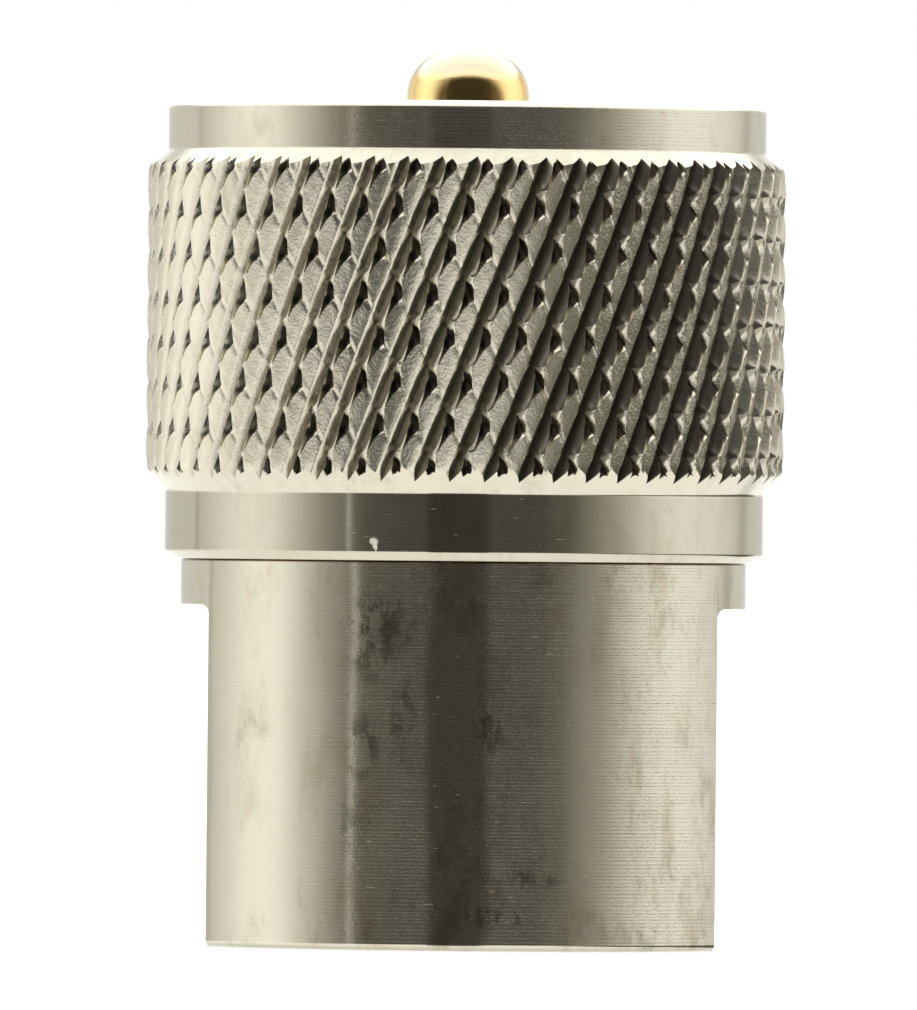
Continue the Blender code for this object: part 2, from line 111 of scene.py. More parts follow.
# Where the nut's outside changes, from the rear
BAND_TOP = NUT_REAR + REAR_EDGE + LOWER_BAND
KNURL_FOOT = BAND_TOP + LOWER_BEVEL
KNURL_HEAD = KNURL_FOOT + KNURL_LENGTH
RIM_FOOT = KNURL_HEAD + UPPER_BEVEL
BEVEL_RISE = KNURL_RADIUS - BAND_RADIUS

# Diamond knurl: where it starts, how it repeats and how deep its grooves are
KNURL_TEETH = 56
KNURL_ROW = 1.2914 * MM
KNURL_START = KNURL_FOOT + 0.455 * MM
KNURL_TURN = math.radians(-0.49)
GROOVE_DEPTH = 0.36 * MM
KNURL_MARGIN = 0.1 * MM
WHEEL_RING = 1 * MM

# Across a ridge, as shares of the distance between two grooves that rise to the right
WALL_FOOT = 0.06
WALL_TOP = 0.25
RIM = 0.31
SLOPE_START = 0.38
SHOULDER = 0.8
FLANK = 0.86

# Along a ridge, as shares of the distance between two notches: the borders and depth of the hollow
# that starts as a slit, widens up to the notch and ends at a short lip beyond it
HOLLOW_ALONG = (0.0, 0.1, 0.2, 0.3, 0.6, 0.72, 1.0)
HOLLOW_LEFT = (0.12, 0.22, 0.3, 0.33, 0.28, 0.24, 0.12)
HOLLOW_RIGHT = (0.57, 0.47, 0.38, 0.35, 0.39, 0.42, 0.57)
HOLLOW_DEPTHS = (0.28 * MM, 0.15 * MM, 0.05 * MM, 0.03 * MM, 0.18 * MM, 0.22 * MM, 0.28 * MM)
FOLD_DEPTH = 0.025 * MM
ALONG_STATIONS = (0.0, 0.05, 0.1, 0.15, 0.2, 0.3, 0.4, 0.5, 0.6, 0.72, 0.82, 0.9, 0.96)

# How uneven the knurl is from one land to the next, and the burr at the head of each lip
SHIFT_ALONG = 0.1
NARROWEST, WIDTH_RANGE = 0.85, 0.4
SHALLOWEST, DEPTH_RANGE = 0.85, 0.3
BURR_AT, BURR_SPREAD = 0.16, 0.09
LEAST_LEAN, LEAN_RANGE = 0.01, 0.07
CREST_DROP = 0.012
GRAIN_SIZE, GRAIN_DEPTH = 0.17 * MM, 0.006
RAG_SIZE, RAG_DEPTH, TORN_DEPTH = 0.26 * MM, 0.006, 0.03

# Plug body
FLAT_DEPTH = 0.89 * MM
NECK_RADIUS = 6.9046 * MM
REAR_BORE = 6.5546 * MM
NECK_GROOVE = 5.9546 * MM
SLEEVE_RADIUS = 5.8546 * MM
FRONT_BORE = 5.2046 * MM
LIP_INSIDE = 4.6546 * MM
BODY_LENGTH = NUT_REAR - 0.01 * MM
SEAM_EDGE = 0.04 * MM
SHOULDER_BAND = 1.35 * MM
FLAT_CORNER = 0.25 * MM
FOOT_ROUND = 0.2 * MM
ROUND_SEGMENTS = 5
SLEEVE_LIP_LENGTH = 1.1 * MM
COLLAR_LENGTH = 0.9 * MM
MATING_FACE = 15.41 * MM
CLAMP_SEAT = 8.2 * MM
TOOTH_HEIGHT = 0.9 * MM
TOOTH_WIDTH = 1.5 * MM
TOOTH_TIP = 0.5 * MM
TOOTH_INSET = 0.2 * MM

# Contact
PIN_RADIUS = 1.98 * MM
NOSE_RADIUS = 1.82 * MM
NOSE_HEIGHT = 1.53 * MM
NOSE_TAPER = 1.6 * MM
NOSE_FULLNESS = 2.25
NOSE_STATIONS = 16
TIP_RADIUS = 0.02 * MM
CONTACT_COLLAR = 0.85 * MM
CUP_BORE = 1.25 * MM
CUP_DEPTH = 3.4 * MM

# Gland
GASKET_BORE = 5.2046 * MM
GLAND_BORE = 5.4046 * MM
CLAMP_BORE = 4.1046 * MM
RIDGE_HEIGHT = 0.5 * MM
RIDGE_WIDTH = 0.8 * MM
SLOT_WIDTH = 1.6 * MM
SLOT_DEPTH = 1.0 * MM
BROKEN_EDGE = 0.03 * MM

# Facets and tolerances
FINE = 256
MEDIUM = 128
NEAR = 2e-6
SMOOTH_ANGLE = math.radians(32)
KNURL_SMOOTH_ANGLE = math.radians(38)


# Shaping helpers


def make_active(piece):
    """Selects one piece, and nothing else."""
    bpy.ops.object.select_all(action="DESELECT")
    piece.select_set(True)
    bpy.context.view_layer.objects.active = piece


def edit(piece):
    """Opens one piece in edit mode, with nothing else selected."""
    make_active(piece)
    bpy.ops.object.mode_set(mode="EDIT")


def leave_edit():
    bpy.ops.object.mode_set(mode="OBJECT")


def face_outwards(piece):
    """Merges doubles and turns every face of a closed shell outwards."""
    edit(piece)
    bpy.ops.mesh.select_all(action="SELECT")
    bpy.ops.mesh.remove_doubles(threshold=NEAR / 4)
    bpy.ops.mesh.normals_make_consistent(inside=False)
    leave_edit()


def select_edges(piece, wanted):
    """Selects the edges that pass a test, and nothing else, in a piece open in edit mode."""
    form = bmesh.from_edit_mesh(piece.data)
    for edge in form.edges:
        edge.select_set(wanted(edge))
    form.select_flush_mode()
    bmesh.update_edit_mesh(piece.data)


def on_ring(edge, radius, height):
    """Whether both ends of an edge lie on the circle with this radius and height."""
    ends = [end.co for end in edge.verts]
    return all(abs(end.z - height) < NEAR and abs(end.xy.length - radius) < NEAR for end in ends)


def round_edges(piece, wanted, width, segments):
    """Rounds the edges that pass a test."""
    edit(piece)
    bpy.ops.mesh.select_mode(type="EDGE")
    select_edges(piece, wanted)
    bpy.ops.mesh.bevel(offset=width, segments=segments, profile=0.5, affect="EDGES")
    leave_edit()


def round_rings(piece, corners, width, segments=3):
    """Rounds the corner at each (radius, height)."""

    def at_corner(edge):
        return any(on_ring(edge, *corner) for corner in corners)

    round_edges(piece, at_corner, width, segments)


def lathe(name, outline, facets, closed=True):
    """Turns an outline of (radius, height) points: a circle, extruded and resized step by step.

    A closed outline makes a ring. An open one starts and ends on a disc.
    """
    radius, height = outline[0]
    bpy.ops.mesh.primitive_circle_add(
        vertices=facets,
        radius=radius,
        fill_type="NOTHING" if closed else "TRIFAN",
        location=(0, 0, height),
    )
    piece = bpy.context.object
    piece.name = name
    piece.data.name = name
    bpy.ops.object.transform_apply()
    bpy.ops.object.mode_set(mode="EDIT")
    bpy.ops.mesh.select_mode(type="EDGE")
    select_edges(piece, lambda edge: on_ring(edge, radius, height))
    route = outline[1:] + outline[:1] if closed else outline[1:]
    for next_radius, next_height in route:
        step = (0, 0, next_height - height)
        bpy.ops.mesh.extrude_region_move(TRANSFORM_OT_translate={"value": step})
        share = next_radius / radius
        bpy.ops.transform.resize(value=(share, share, 1), center_override=(0, 0, next_height))
        radius, height = next_radius, next_height
    if not closed:
        bpy.ops.mesh.extrude_region_move(TRANSFORM_OT_translate={"value": (0, 0, 0)})
        bpy.ops.mesh.merge(type="CENTER")
    leave_edit()
    face_outwards(piece)
    return piece


def cut(piece, tool, operation="DIFFERENCE", solver="MANIFOLD"):
    """Cuts the tool from the piece, or joins it on, and removes the tool."""
    modifier = piece.modifiers.new(tool.name, "BOOLEAN")
    modifier.operation = operation
    modifier.solver = solver
    modifier.object = tool
    make_active(piece)
    bpy.ops.object.modifier_apply(modifier=modifier.name)
    bpy.data.objects.remove(tool, do_unlink=True)


def block(name, low, high):
    """A cube brought to its place and size."""
    middle = (Vector(low) + Vector(high)) / 2
    size = Vector(high) - Vector(low)
    bpy.ops.mesh.primitive_cube_add(size=1, location=middle, scale=size)
    piece = bpy.context.object
    piece.name = name
    bpy.ops.object.transform_apply()
    return piece


def smooth(piece, angle=SMOOTH_ANGLE):
    """Smooth shading up to an angle, with the large faces kept flat beside small round edges.

    The piece is brought to metres while its faces are weighed, because millimetre faces are too
    small to weigh.
    """
    make_active(piece)
    bpy.ops.object.shade_smooth_by_angle(angle=angle)
    weighted = piece.modifiers.new("weighted", "WEIGHTED_NORMAL")
    weighted.keep_sharp = True
    weighted.mode = "FACE_AREA_WITH_ANGLE"
    piece.data.transform(Matrix.Scale(PER_MM, 4))
    bpy.ops.object.modifier_apply(modifier=weighted.name)
    piece.data.transform(Matrix.Scale(MM, 4))


def stand_for(piece, node, body, material):
    """The finished piece takes the place of its CAD node."""
    piece.data.materials.clear()
    piece.data.materials.append(material)
    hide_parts(node)
    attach(piece, body)


# Coupling nut


def nut_blank():
    """The turned blank: two bands, two bevels and a crowned front face, round the drilled bore."""
    front = RIM_FOOT + RIM_BAND
    stock = KNURL_RADIUS + KNURL_STOCK
    mouth = THREAD_CREST + MOUTH_CHAMFER
    groove = NUT_REAR + LIP_LENGTH
    land = groove + RING_ROOM
    relief = land + LAND_LENGTH
    thread = relief + RELIEF_LENGTH
    outline = [
        (LIP_BORE + EDGE_BREAK, NUT_REAR),
        (BAND_RADIUS - REAR_EDGE, NUT_REAR),
        (BAND_RADIUS, NUT_REAR + REAR_EDGE),
        (BAND_RADIUS, BAND_TOP),
        (stock, KNURL_FOOT + KNURL_STOCK * LOWER_BEVEL / BEVEL_RISE),
        (stock, KNURL_HEAD - KNURL_STOCK * UPPER_BEVEL / BEVEL_RISE),
        (BAND_RADIUS, RIM_FOOT),
        (BAND_RADIUS, front),
        (mouth, NUT_FRONT),
        (THREAD_CREST, NUT_FRONT - MOUTH_CHAMFER),
        (THREAD_CREST, thread),
        (RELIEF_RADIUS, thread),
        (RELIEF_RADIUS, relief),
        (THREAD_CREST, relief),
        (THREAD_CREST, land),
        (RING_GROOVE, land),
        (RING_GROOVE, groove),
        (LIP_BORE, groove),
        (LIP_BORE, NUT_REAR + EDGE_BREAK),
    ]
    blank = lathe("coupling_nut_fine", outline, FINE)
    round_rings(blank, [(BAND_RADIUS, front)], RIM_CORNER)
    band_corners = [(BAND_RADIUS, place) for place in (NUT_REAR + REAR_EDGE, BAND_TOP, RIM_FOOT)]
    round_rings(blank, band_corners, SOFT_EDGE)
    round_rings(blank, [(BAND_RADIUS - REAR_EDGE, NUT_REAR)], SOFT_EDGE / 3, segments=2)
    return blank


def thread_tap():
    """The helical V that a 5/8-24 tap cuts, from the relief groove to beyond the mouth."""
    start = NUT_REAR + LIP_LENGTH + RING_ROOM + LAND_LENGTH + RELIEF_LENGTH / 2
    turns = math.ceil((NUT_FRONT - start) / THREAD_PITCH) + 1
    inside = THREAD_CREST - TAP_OVERLAP
    root_half = THREAD_ROOT_FLAT / 2
    base_half = root_half + (THREAD_RADIUS - inside) * math.tan(THREAD_FLANK)
    bpy.ops.mesh.primitive_circle_add(vertices=4, radius=base_half, fill_type="NGON")
    tap = bpy.context.object
    tap.name = "thread_tap"
    rear_side = ((inside, -base_half), (THREAD_RADIUS, -root_half))
    front_side = ((THREAD_RADIUS, root_half), (inside, base_half))
    for vertex, (radius, height) in zip(tap.data.vertices, rear_side + front_side):
        vertex.co = (radius, 0, start + height)
    screw = tap.modifiers.new("helix", "SCREW")
    screw.axis = "Z"
    screw.angle = math.tau * turns
    screw.screw_offset = THREAD_PITCH * turns
    screw.steps = THREAD_STEPS * turns
    screw.render_steps = THREAD_STEPS * turns
    bpy.ops.object.modifier_apply(modifier=screw.name)
    edit(tap)
    bpy.ops.mesh.select_all(action="DESELECT")
    bpy.ops.mesh.select_mode(type="EDGE")
    bpy.ops.mesh.select_non_manifold(extend=False)
    bpy.ops.mesh.edge_face_add()
    leave_edit()
    face_outwards(tap)
    return tap


def groove_share(u):
    """Depth of the groove that rises to the right, from 0 at the crest to 1 at its root.

    Past the root, its wall is steep up to the rim. Behind the rim the ridge slopes gently down
    to the shoulder, and then steeply to the next root.
    """
    corners = (0.0, WALL_FOOT, WALL_TOP, RIM, SLOPE_START, SHOULDER, FLANK, 1.0)
    depths = (1.0, 0.84, 0.14, 0.06, 0.13, 0.42, 0.56, 1.0)
    return np.interp(u, corners, depths)


def ridge_columns(v, widen):
    """Where the thirteen columns of a ridge stand at v: the wall, the hollow and the slope."""
    left = np.interp(v, HOLLOW_ALONG, HOLLOW_LEFT)
    right = np.interp(v, HOLLOW_ALONG, HOLLOW_RIGHT)
    middle = left + (right - left) * 0.45
    left = middle + (left - middle) * widen
    right = middle + (right - middle) * widen
    wall = [left * share for share in (0.0, 0.28, 0.56, 0.82)]
    hollow = [left, (left + middle) / 2, middle, (middle + right) / 2, right]
    slope = [(right + SHOULDER) / 2]
    steep = [np.full_like(v, share) for share in (SHOULDER, FLANK, (FLANK + 1) / 2)]
    return np.stack(wall + hollow + slope + steep)


def knurl_wheel_marks():
    """The ring of metal that the knurling wheels press away, with the knurl as its inner wall.

    A grid is wrapped round the nut. Its columns follow the grooves that rise to the right, and
    its diagonals the notches that rise to the left, so each crease runs along edges.
    """
    steps = len(ALONG_STATIONS)
    columns = KNURL_TEETH * steps
    bottom = BAND_TOP - KNURL_MARGIN
    top = RIM_FOOT + KNURL_MARGIN
    first = math.floor((bottom - KNURL_START) / KNURL_ROW * steps)
    last = math.ceil((top - KNURL_START) / KNURL_ROW * steps)
    rows = last - first
    bpy.ops.mesh.primitive_grid_add(x_subdivisions=columns, y_subdivisions=rows, size=1)
    ring = bpy.context.object
    ring.name = "knurl_wheel_marks"
    edit(ring)
    bpy.ops.mesh.quads_convert_to_tris(quad_method="FIXED_ALTERNATE")
    leave_edit()
    points = np.empty(len(ring.data.vertices) * 3, np.float32)
    ring.data.vertices.foreach_get("co", points)
    points = points.reshape(-1, 3)
    i = np.rint((points[:, 0] + 0.5) * columns).astype(int)
    k = np.rint((points[:, 1] + 0.5) * rows).astype(int)
    j = i + k + first
    radius, angle, height = knurl_surface(i // steps, i % steps, j // steps, j % steps)
    placed = np.stack([radius * np.cos(angle), radius * np.sin(angle), height], axis=1)
    ring.data.vertices.foreach_set("co", placed.astype(np.float32).ravel())
    ring.data.update()
    edit(ring)
    bpy.ops.mesh.select_all(action="SELECT")
    bpy.ops.mesh.remove_doubles(threshold=NEAR / 2)
    bpy.ops.mesh.select_mode(type="EDGE")
    bpy.ops.mesh.select_all(action="DESELECT")
    bpy.ops.mesh.select_non_manifold(extend=False)
    bpy.ops.mesh.extrude_region_move(TRANSFORM_OT_translate={"value": (0, 0, 0)})
    share = (KNURL_RADIUS + WHEEL_RING) / KNURL_RADIUS
    bpy.ops.transform.resize(value=(share, share, 1), center_override=(0, 0, 0))
    bpy.ops.mesh.bridge_edge_loops()
    leave_edit()
    face_outwards(ring)
    return ring


def knurl_surface(ridge, column, notch, station):
    """Radius, angle and height of the knurl's points, with the unevenness of rolled metal."""
    random = np.random.default_rng(24)
    row = notch - ridge
    tooth = ridge % KNURL_TEETH
    chance = random.random((5, KNURL_TEETH, int(np.ptp(row)) + 1))[:, tooth, row - row.min()]
    length, width, burr, lift, tear = chance
    v = np.array(ALONG_STATIONS)[station]
    shift = SHIFT_ALONG * (length - 0.5) * np.sin(math.pi * v)
    stretched = np.clip(v + shift, 0.0, 1.0)
    columns = ridge_columns(stretched, NARROWEST + WIDTH_RANGE * width)
    u = columns[column, np.arange(len(v))]
    depth = groove_share(u) * GROOVE_DEPTH
    hollow = np.interp(stretched, HOLLOW_ALONG, HOLLOW_DEPTHS) * (SHALLOWEST + DEPTH_RANGE * width)
    share = np.interp(column, (4, 5, 6, 7, 8), (0.0, 0.75, 1.0, 0.6, 0.0))
    depth = np.maximum(depth, depth + (hollow - depth) * share)
    # Right of the hollow, a slight fold is left where the notch crosses the slope.
    fold_along = np.interp(v, (0.0, 0.1, 0.9, 1.0), (1.0, 0.0, 0.0, 1.0))
    fold = fold_along * np.interp(column, (8, 9, 10, 11), (0.5, 1.0, 0.6, 0.0))
    depth = depth + fold * FOLD_DEPTH
    # A burr at the head of each lip leans over the groove on its left.
    head_along = np.exp(-(((v - BURR_AT) / BURR_SPREAD) ** 2))
    head = head_along * np.interp(column, (0, 3, 4, 8, 10), (0, 1, 1, 0.3, 0))
    u = u - head * (LEAST_LEAN + LEAN_RANGE * burr)
    depth = depth + lift * CREST_DROP * MM * (1 - depth / GROOVE_DEPTH)
    along = 2 * (ridge + notch + u + v)
    angle = KNURL_TURN + along * math.tau / (4 * KNURL_TEETH) - math.pi / 2
    height = KNURL_START + (notch - ridge + v - u) * KNURL_ROW
    grain = np.empty(len(u))
    rags = np.empty(len(u))
    for index in range(len(u)):
        x = KNURL_RADIUS * math.cos(angle[index])
        y = KNURL_RADIUS * math.sin(angle[index])
        z = height[index]
        grain[index] = noise.noise(Vector((x, y, z)) / GRAIN_SIZE)
        rags[index] = noise.noise(Vector((x, y, z * 1.6)) / RAG_SIZE)
    depth = depth + grain * GRAIN_DEPTH * MM + rags * (RAG_DEPTH + TORN_DEPTH * head * tear) * MM
    return KNURL_RADIUS - np.maximum(depth, 0.0), angle, height


def coupling_nut(material):
    nut = nut_blank()
    cut(nut, thread_tap())
    cut(nut, knurl_wheel_marks())
    smooth(nut, KNURL_SMOOTH_ANGLE)
    stand_for(nut, "coupling_nut", "nut", material)
    return nut


# Plug body


def body_blank():
    ring_seat = RING_LOW[2] - SEAT_GAP
    groove_front = MATING_FACE - COLLAR_LENGTH
    outline = [
        (REAR_BORE + EDGE_BREAK, 0.0),
        (BODY_RADIUS, 0.0),
        (BODY_RADIUS, BODY_LENGTH - SEAM_EDGE),
        (BODY_RADIUS - SEAM_EDGE, BODY_LENGTH),
        (NECK_RADIUS, BODY_LENGTH),
        (NECK_RADIUS, ring_seat),
        (NECK_GROOVE, ring_seat),
        (NECK_GROOVE, groove_front),
        (NECK_RADIUS, groove_front),
        (NECK_RADIUS, MATING_FACE - EDGE_BREAK),
        (NECK_RADIUS - EDGE_BREAK, MATING_FACE),
        (SLEEVE_RADIUS, MATING_FACE),
        (SLEEVE_RADIUS, SLEEVE_FRONT - EDGE_BREAK),
        (SLEEVE_RADIUS - EDGE_BREAK, SLEEVE_FRONT),
        (LIP_INSIDE, SLEEVE_FRONT),
        (LIP_INSIDE, SLEEVE_FRONT - SLEEVE_LIP_LENGTH),
        (FRONT_BORE, SLEEVE_FRONT - SLEEVE_LIP_LENGTH),
        (FRONT_BORE, CLAMP_SEAT),
        (REAR_BORE, CLAMP_SEAT),
        (REAR_BORE, EDGE_BREAK),
    ]
    return lathe("plug_body_fine", outline, FINE)


def flat_cutter(side):
    """The path of the mill that leaves one wrench flat, with its round corner."""
    reach = 2 * BODY_RADIUS
    top = BODY_LENGTH - SHOULDER_BAND
    inner = side * (BODY_RADIUS - FLAT_DEPTH)
    outer = side * (BODY_RADIUS + reach)
    low = (min(inner, outer), -reach, -reach)
    tool = block("flat_cutter", low, (max(inner, outer), reach, top))

    def at_corner(edge):
        ends = [end.co for end in edge.verts]
        return all(abs(end.x - inner) < NEAR and abs(end.z - top) < NEAR for end in ends)

    round_edges(tool, at_corner, FLAT_CORNER, ROUND_SEGMENTS)
    return tool


def at_foot(edge):
    """Whether an edge bounds the rear face, where it meets the turned side or a flat."""
    if len(edge.link_faces) != 2:
        return False
    outside = REAR_BORE + 2 * EDGE_BREAK
    slopes = [face.normal.z for face in edge.link_faces]
    turns = abs(slopes[0] - slopes[1]) > 0.5
    return turns and all(abs(end.co.z) < NEAR and end.co.xy.length > outside for end in edge.verts)


def locating_tooth(side):
    """A wedge on the collar that drops into a notch of the socket's rim."""
    inner = side * (SLEEVE_RADIUS - TOOTH_INSET)
    outer = side * (NECK_RADIUS - TOOTH_INSET)
    low = (min(inner, outer), -TOOTH_WIDTH / 2, MATING_FACE - TOOTH_INSET)
    high = (max(inner, outer), TOOTH_WIDTH / 2, MATING_FACE + TOOTH_HEIGHT)
    tooth = block("locating_tooth", low, high)
    edit(tooth)
    bpy.ops.mesh.select_mode(type="EDGE")
    select_edges(tooth, lambda edge: all(end.co.z > MATING_FACE for end in edge.verts))
    taper = (1, TOOTH_TIP / TOOTH_WIDTH, 1)
    bpy.ops.transform.resize(value=taper, center_override=(0, 0, high[2]))
    leave_edit()
    return tooth


def plug_body(material):
    body = body_blank()
    for side in (1, -1):
        cut(body, flat_cutter(side))
        cut(body, locating_tooth(side), "UNION")
    round_edges(body, at_foot, FOOT_ROUND, ROUND_SEGMENTS)
    smooth(body)
    stand_for(body, "plug_body", "plug", material)
    return body


# Contact, insulators and gland


def centre_contact(material):
    """The pin with its tapered, domed nose, its collar and its solder cup."""
    tip = PIN_HIGH[2]
    rear = PIN_LOW[2]
    collar_front = REAR_HIGH[2] - SEAT_GAP
    collar_rear = collar_front - CONTACT_COLLAR
    collar = PIN_HIGH[0]
    dome = []
    for step in range(NOSE_STATIONS, 0, -1):
        down = NOSE_HEIGHT * (step / NOSE_STATIONS) ** 2
        bulge = (1 - (1 - down / NOSE_HEIGHT) ** NOSE_FULLNESS) ** (1 / NOSE_FULLNESS)
        dome.append((NOSE_RADIUS * bulge, tip - down))
    outline = [
        (CUP_BORE, rear + CUP_DEPTH),
        (CUP_BORE, rear),
        (PIN_RADIUS, rear),
        (PIN_RADIUS, collar_rear),
        (collar, collar_rear),
        (collar, collar_front),
        (PIN_RADIUS, collar_front),
        (PIN_RADIUS, tip - NOSE_HEIGHT - NOSE_TAPER),
        *dome,
        (TIP_RADIUS, tip),
    ]
    pin = lathe("centre_contact_fine", outline, MEDIUM, closed=False)
    smooth(pin)
    stand_for(pin, "centre_contact", "plug", material)
    return pin


def turned_piece(node, outline, material):
    """A plain turned ring of the plug, with every corner lightly broken."""
    piece = lathe(node + "_fine", outline, MEDIUM)
    round_rings(piece, outline, BROKEN_EDGE, segments=2)
    smooth(piece)
    stand_for(piece, node, "plug", material)
    return piece


def front_insulator(material):
    bore = PIN_RADIUS + BORE_GAP
    nose = LIP_INSIDE - BORE_GAP
    step = SLEEVE_FRONT - SLEEVE_LIP_LENGTH - SEAT_GAP
    outline = [
        (bore, FRONT_LOW[2]),
        (FRONT_HIGH[0], FRONT_LOW[2]),
        (FRONT_HIGH[0], step),
        (nose, step),
        (nose, FRONT_HIGH[2]),
        (bore, FRONT_HIGH[2]),
    ]
    return turned_piece("front_insulator", outline, material)


def rear_insulator(material):
    bore = PIN_RADIUS + BORE_GAP
    pocket = PIN_HIGH[0] + BORE_GAP
    seat = REAR_HIGH[2] - CONTACT_COLLAR - 2 * SEAT_GAP
    outline = [
        (bore, REAR_LOW[2]),
        (REAR_HIGH[0], REAR_LOW[2]),
        (REAR_HIGH[0], REAR_HIGH[2]),
        (pocket, REAR_HIGH[2]),
        (pocket, seat),
        (bore, seat),
    ]
    return turned_piece("rear_insulator", outline, material)


def ridge_profile(height):
    """The V that the clamp and the gasket share, outer point first."""
    middle = (GASKET_BORE + GLAND_HIGH[0]) / 2
    half = RIDGE_WIDTH / 2
    return [(middle + half, height), (middle, height - RIDGE_HEIGHT), (middle - half, height)]


def braid_clamp(material):
    face = CLAMP_LOW[2] + RIDGE_HEIGHT
    outline = [
        (CLAMP_BORE, face),
        (CLAMP_BORE, CLAMP_HIGH[2]),
        (CLAMP_HIGH[0], CLAMP_HIGH[2]),
        (CLAMP_HIGH[0], face),
        *ridge_profile(face),
    ]
    return turned_piece("braid_clamp", outline, material)


def cable_gasket(material):
    outline = [
        (GASKET_BORE, GASKET_LOW[2]),
        (GASKET_BORE, GASKET_HIGH[2]),
        *reversed(ridge_profile(GASKET_HIGH[2])),
        (GASKET_HIGH[0], GASKET_HIGH[2]),
        (GASKET_HIGH[0], GASKET_LOW[2]),
    ]
    return turned_piece("cable_gasket", outline, material)


def slip_washer(material):
    outline = [
        (GLAND_BORE, WASHER_LOW[2]),
        (WASHER_HIGH[0], WASHER_LOW[2]),
        (WASHER_HIGH[0], WASHER_HIGH[2]),
        (GLAND_BORE, WASHER_HIGH[2]),
    ]
    return turned_piece("slip_washer", outline, material)


def gland_nut(material):
    """The ring nut that closes the gland, slotted across its rear face."""
    outside = GLAND_HIGH[0]
    outline = [
        (GLAND_BORE, GLAND_LOW[2]),
        (outside, GLAND_LOW[2]),
        (outside, GLAND_HIGH[2]),
        (GLAND_BORE, GLAND_HIGH[2]),
    ]
    nut = lathe("gland_nut_fine", outline, MEDIUM)
    round_rings(nut, outline, EDGE_BREAK, segments=2)
    reach = 2 * outside
    low = (-reach, -SLOT_WIDTH / 2, GLAND_LOW[2] - SLOT_DEPTH)
    cut(nut, block("key_slot", low, (reach, SLOT_WIDTH / 2, GLAND_LOW[2] + SLOT_DEPTH)))
    smooth(nut)
    stand_for(nut, "gland_nut", "plug", material)
    return nut


# Materials


class Nodes:
    """Adds shader nodes and joins them, with short names for the kinds that this file uses."""

    def __init__(self, owner):
        owner.use_nodes = True
        self.tree = owner.node_tree

    def add(self, kind, values=(), **settings):
        """Adds a node. Its values are numbers or sockets, by the name of the input they go to."""
        node = self.tree.nodes.new("ShaderNode" + kind)
        for name, value in settings.items():
            setattr(node, name, value)
        for name, value in dict(values).items():
            self.join(value, node.inputs[name])
        return node

    def join(self, value, socket):
        if isinstance(value, bpy.types.NodeSocket):
            self.tree.links.new(value, socket)
        else:
            socket.default_value = value

    def maths(self, operation, *values):
        return self.add("Math", enumerate(values), operation=operation).outputs[0]

    def in_turn(self, operation, first, *others):
        """The same operation with one value after another, from left to right."""
        for other in others:
            first = self.maths(operation, first, other)
        return first

    def times(self, *values):
        return self.in_turn("MULTIPLY", *values)

    def plus(self, *values):
        return self.in_turn("ADD", *values)

    def greatest(self, *values):
        return self.in_turn("MAXIMUM", *values)

    def least(self, *values):
        return self.in_turn("MINIMUM", *values)

    def minus(self, first, second):
        return self.maths("SUBTRACT", first, second)

    def times_plus(self, value, factor, more):
        return self.maths("MULTIPLY_ADD", value, factor, more)

    def between(self, value, low, high, start=0.0, end=1.0):
        """Value from low to high becomes start to end, eased and held beyond."""
        values = {"Value": value, "From Min": low, "From Max": high, "To Min": start, "To Max": end}
        return self.add("MapRange", values, interpolation_type="SMOOTHSTEP").outputs["Result"]

    def blend(self, share, first, second):
        """Mixes two colours, each a socket or (red, green, blue)."""
        both = [(*part, 1) if isinstance(part, tuple) else part for part in (first, second)]
        node = self.add("Mix", {6: both[0], 7: both[1]}, data_type="RGBA")
        self.join(share, node.inputs["Factor"])
        return node.outputs[2]

    def noise(self, vector, scale, detail=3.0, roughness=0.5):
        values = {"Vector": vector, "Scale": scale, "Detail": detail, "Roughness": roughness}
        return self.add("TexNoise", values).outputs["Fac"]

    def noise_along(self, value, per_mm):
        """Noise that changes with one number only."""
        values = {"W": value, "Scale": per_mm * PER_MM, "Detail": 2.0}
        return self.add("TexNoise", values, noise_dimensions="1D").outputs["Fac"]

    def cloud(self, per_mm, detail=3.0, roughness=0.5, along=1.0):
        """Noise in space. Below 1, along draws it out along the axis."""
        values = {"Vector": self.add("TexCoord").outputs["Object"], "Scale": (1, 1, along)}
        place = self.add("Mapping", values).outputs["Vector"]
        return self.noise(place, per_mm * PER_MM, detail, roughness)

    def lengthwise(self):
        """(distance from the axis, height, angle round the axis) in metres and radians."""
        x, y, z = self.add("SeparateXYZ", {0: self.add("TexCoord").outputs["Object"]}).outputs
        distance = self.maths("SQRT", self.plus(self.times(x, x), self.times(y, y)))
        return distance, z, self.maths("ARCTAN2", y, x)


class Surface(Nodes):
    """A new material, with the nodes that lead to its shader."""

    def __init__(self, name, colour, metallic=0.0):
        self.material = bpy.data.materials.new(name)
        super().__init__(self.material)
        self.shader = self.tree.nodes["Principled BSDF"]
        self.shader.inputs["Base Color"].default_value = (*colour, 1)
        self.shader.inputs["Metallic"].default_value = metallic

    def finish(self, colour, roughness, relief, distance=MM, strength=1.0):
        """Joins colour, roughness and relief to the shader. The distance is the relief's unit."""
        values = {"Height": relief, "Distance": distance, "Strength": strength}
        self.join(colour, self.shader.inputs["Base Color"])
        self.join(roughness, self.shader.inputs["Roughness"])
        self.join(self.add("Bump", values).outputs["Normal"], self.shader.inputs["Normal"])
        return self.material


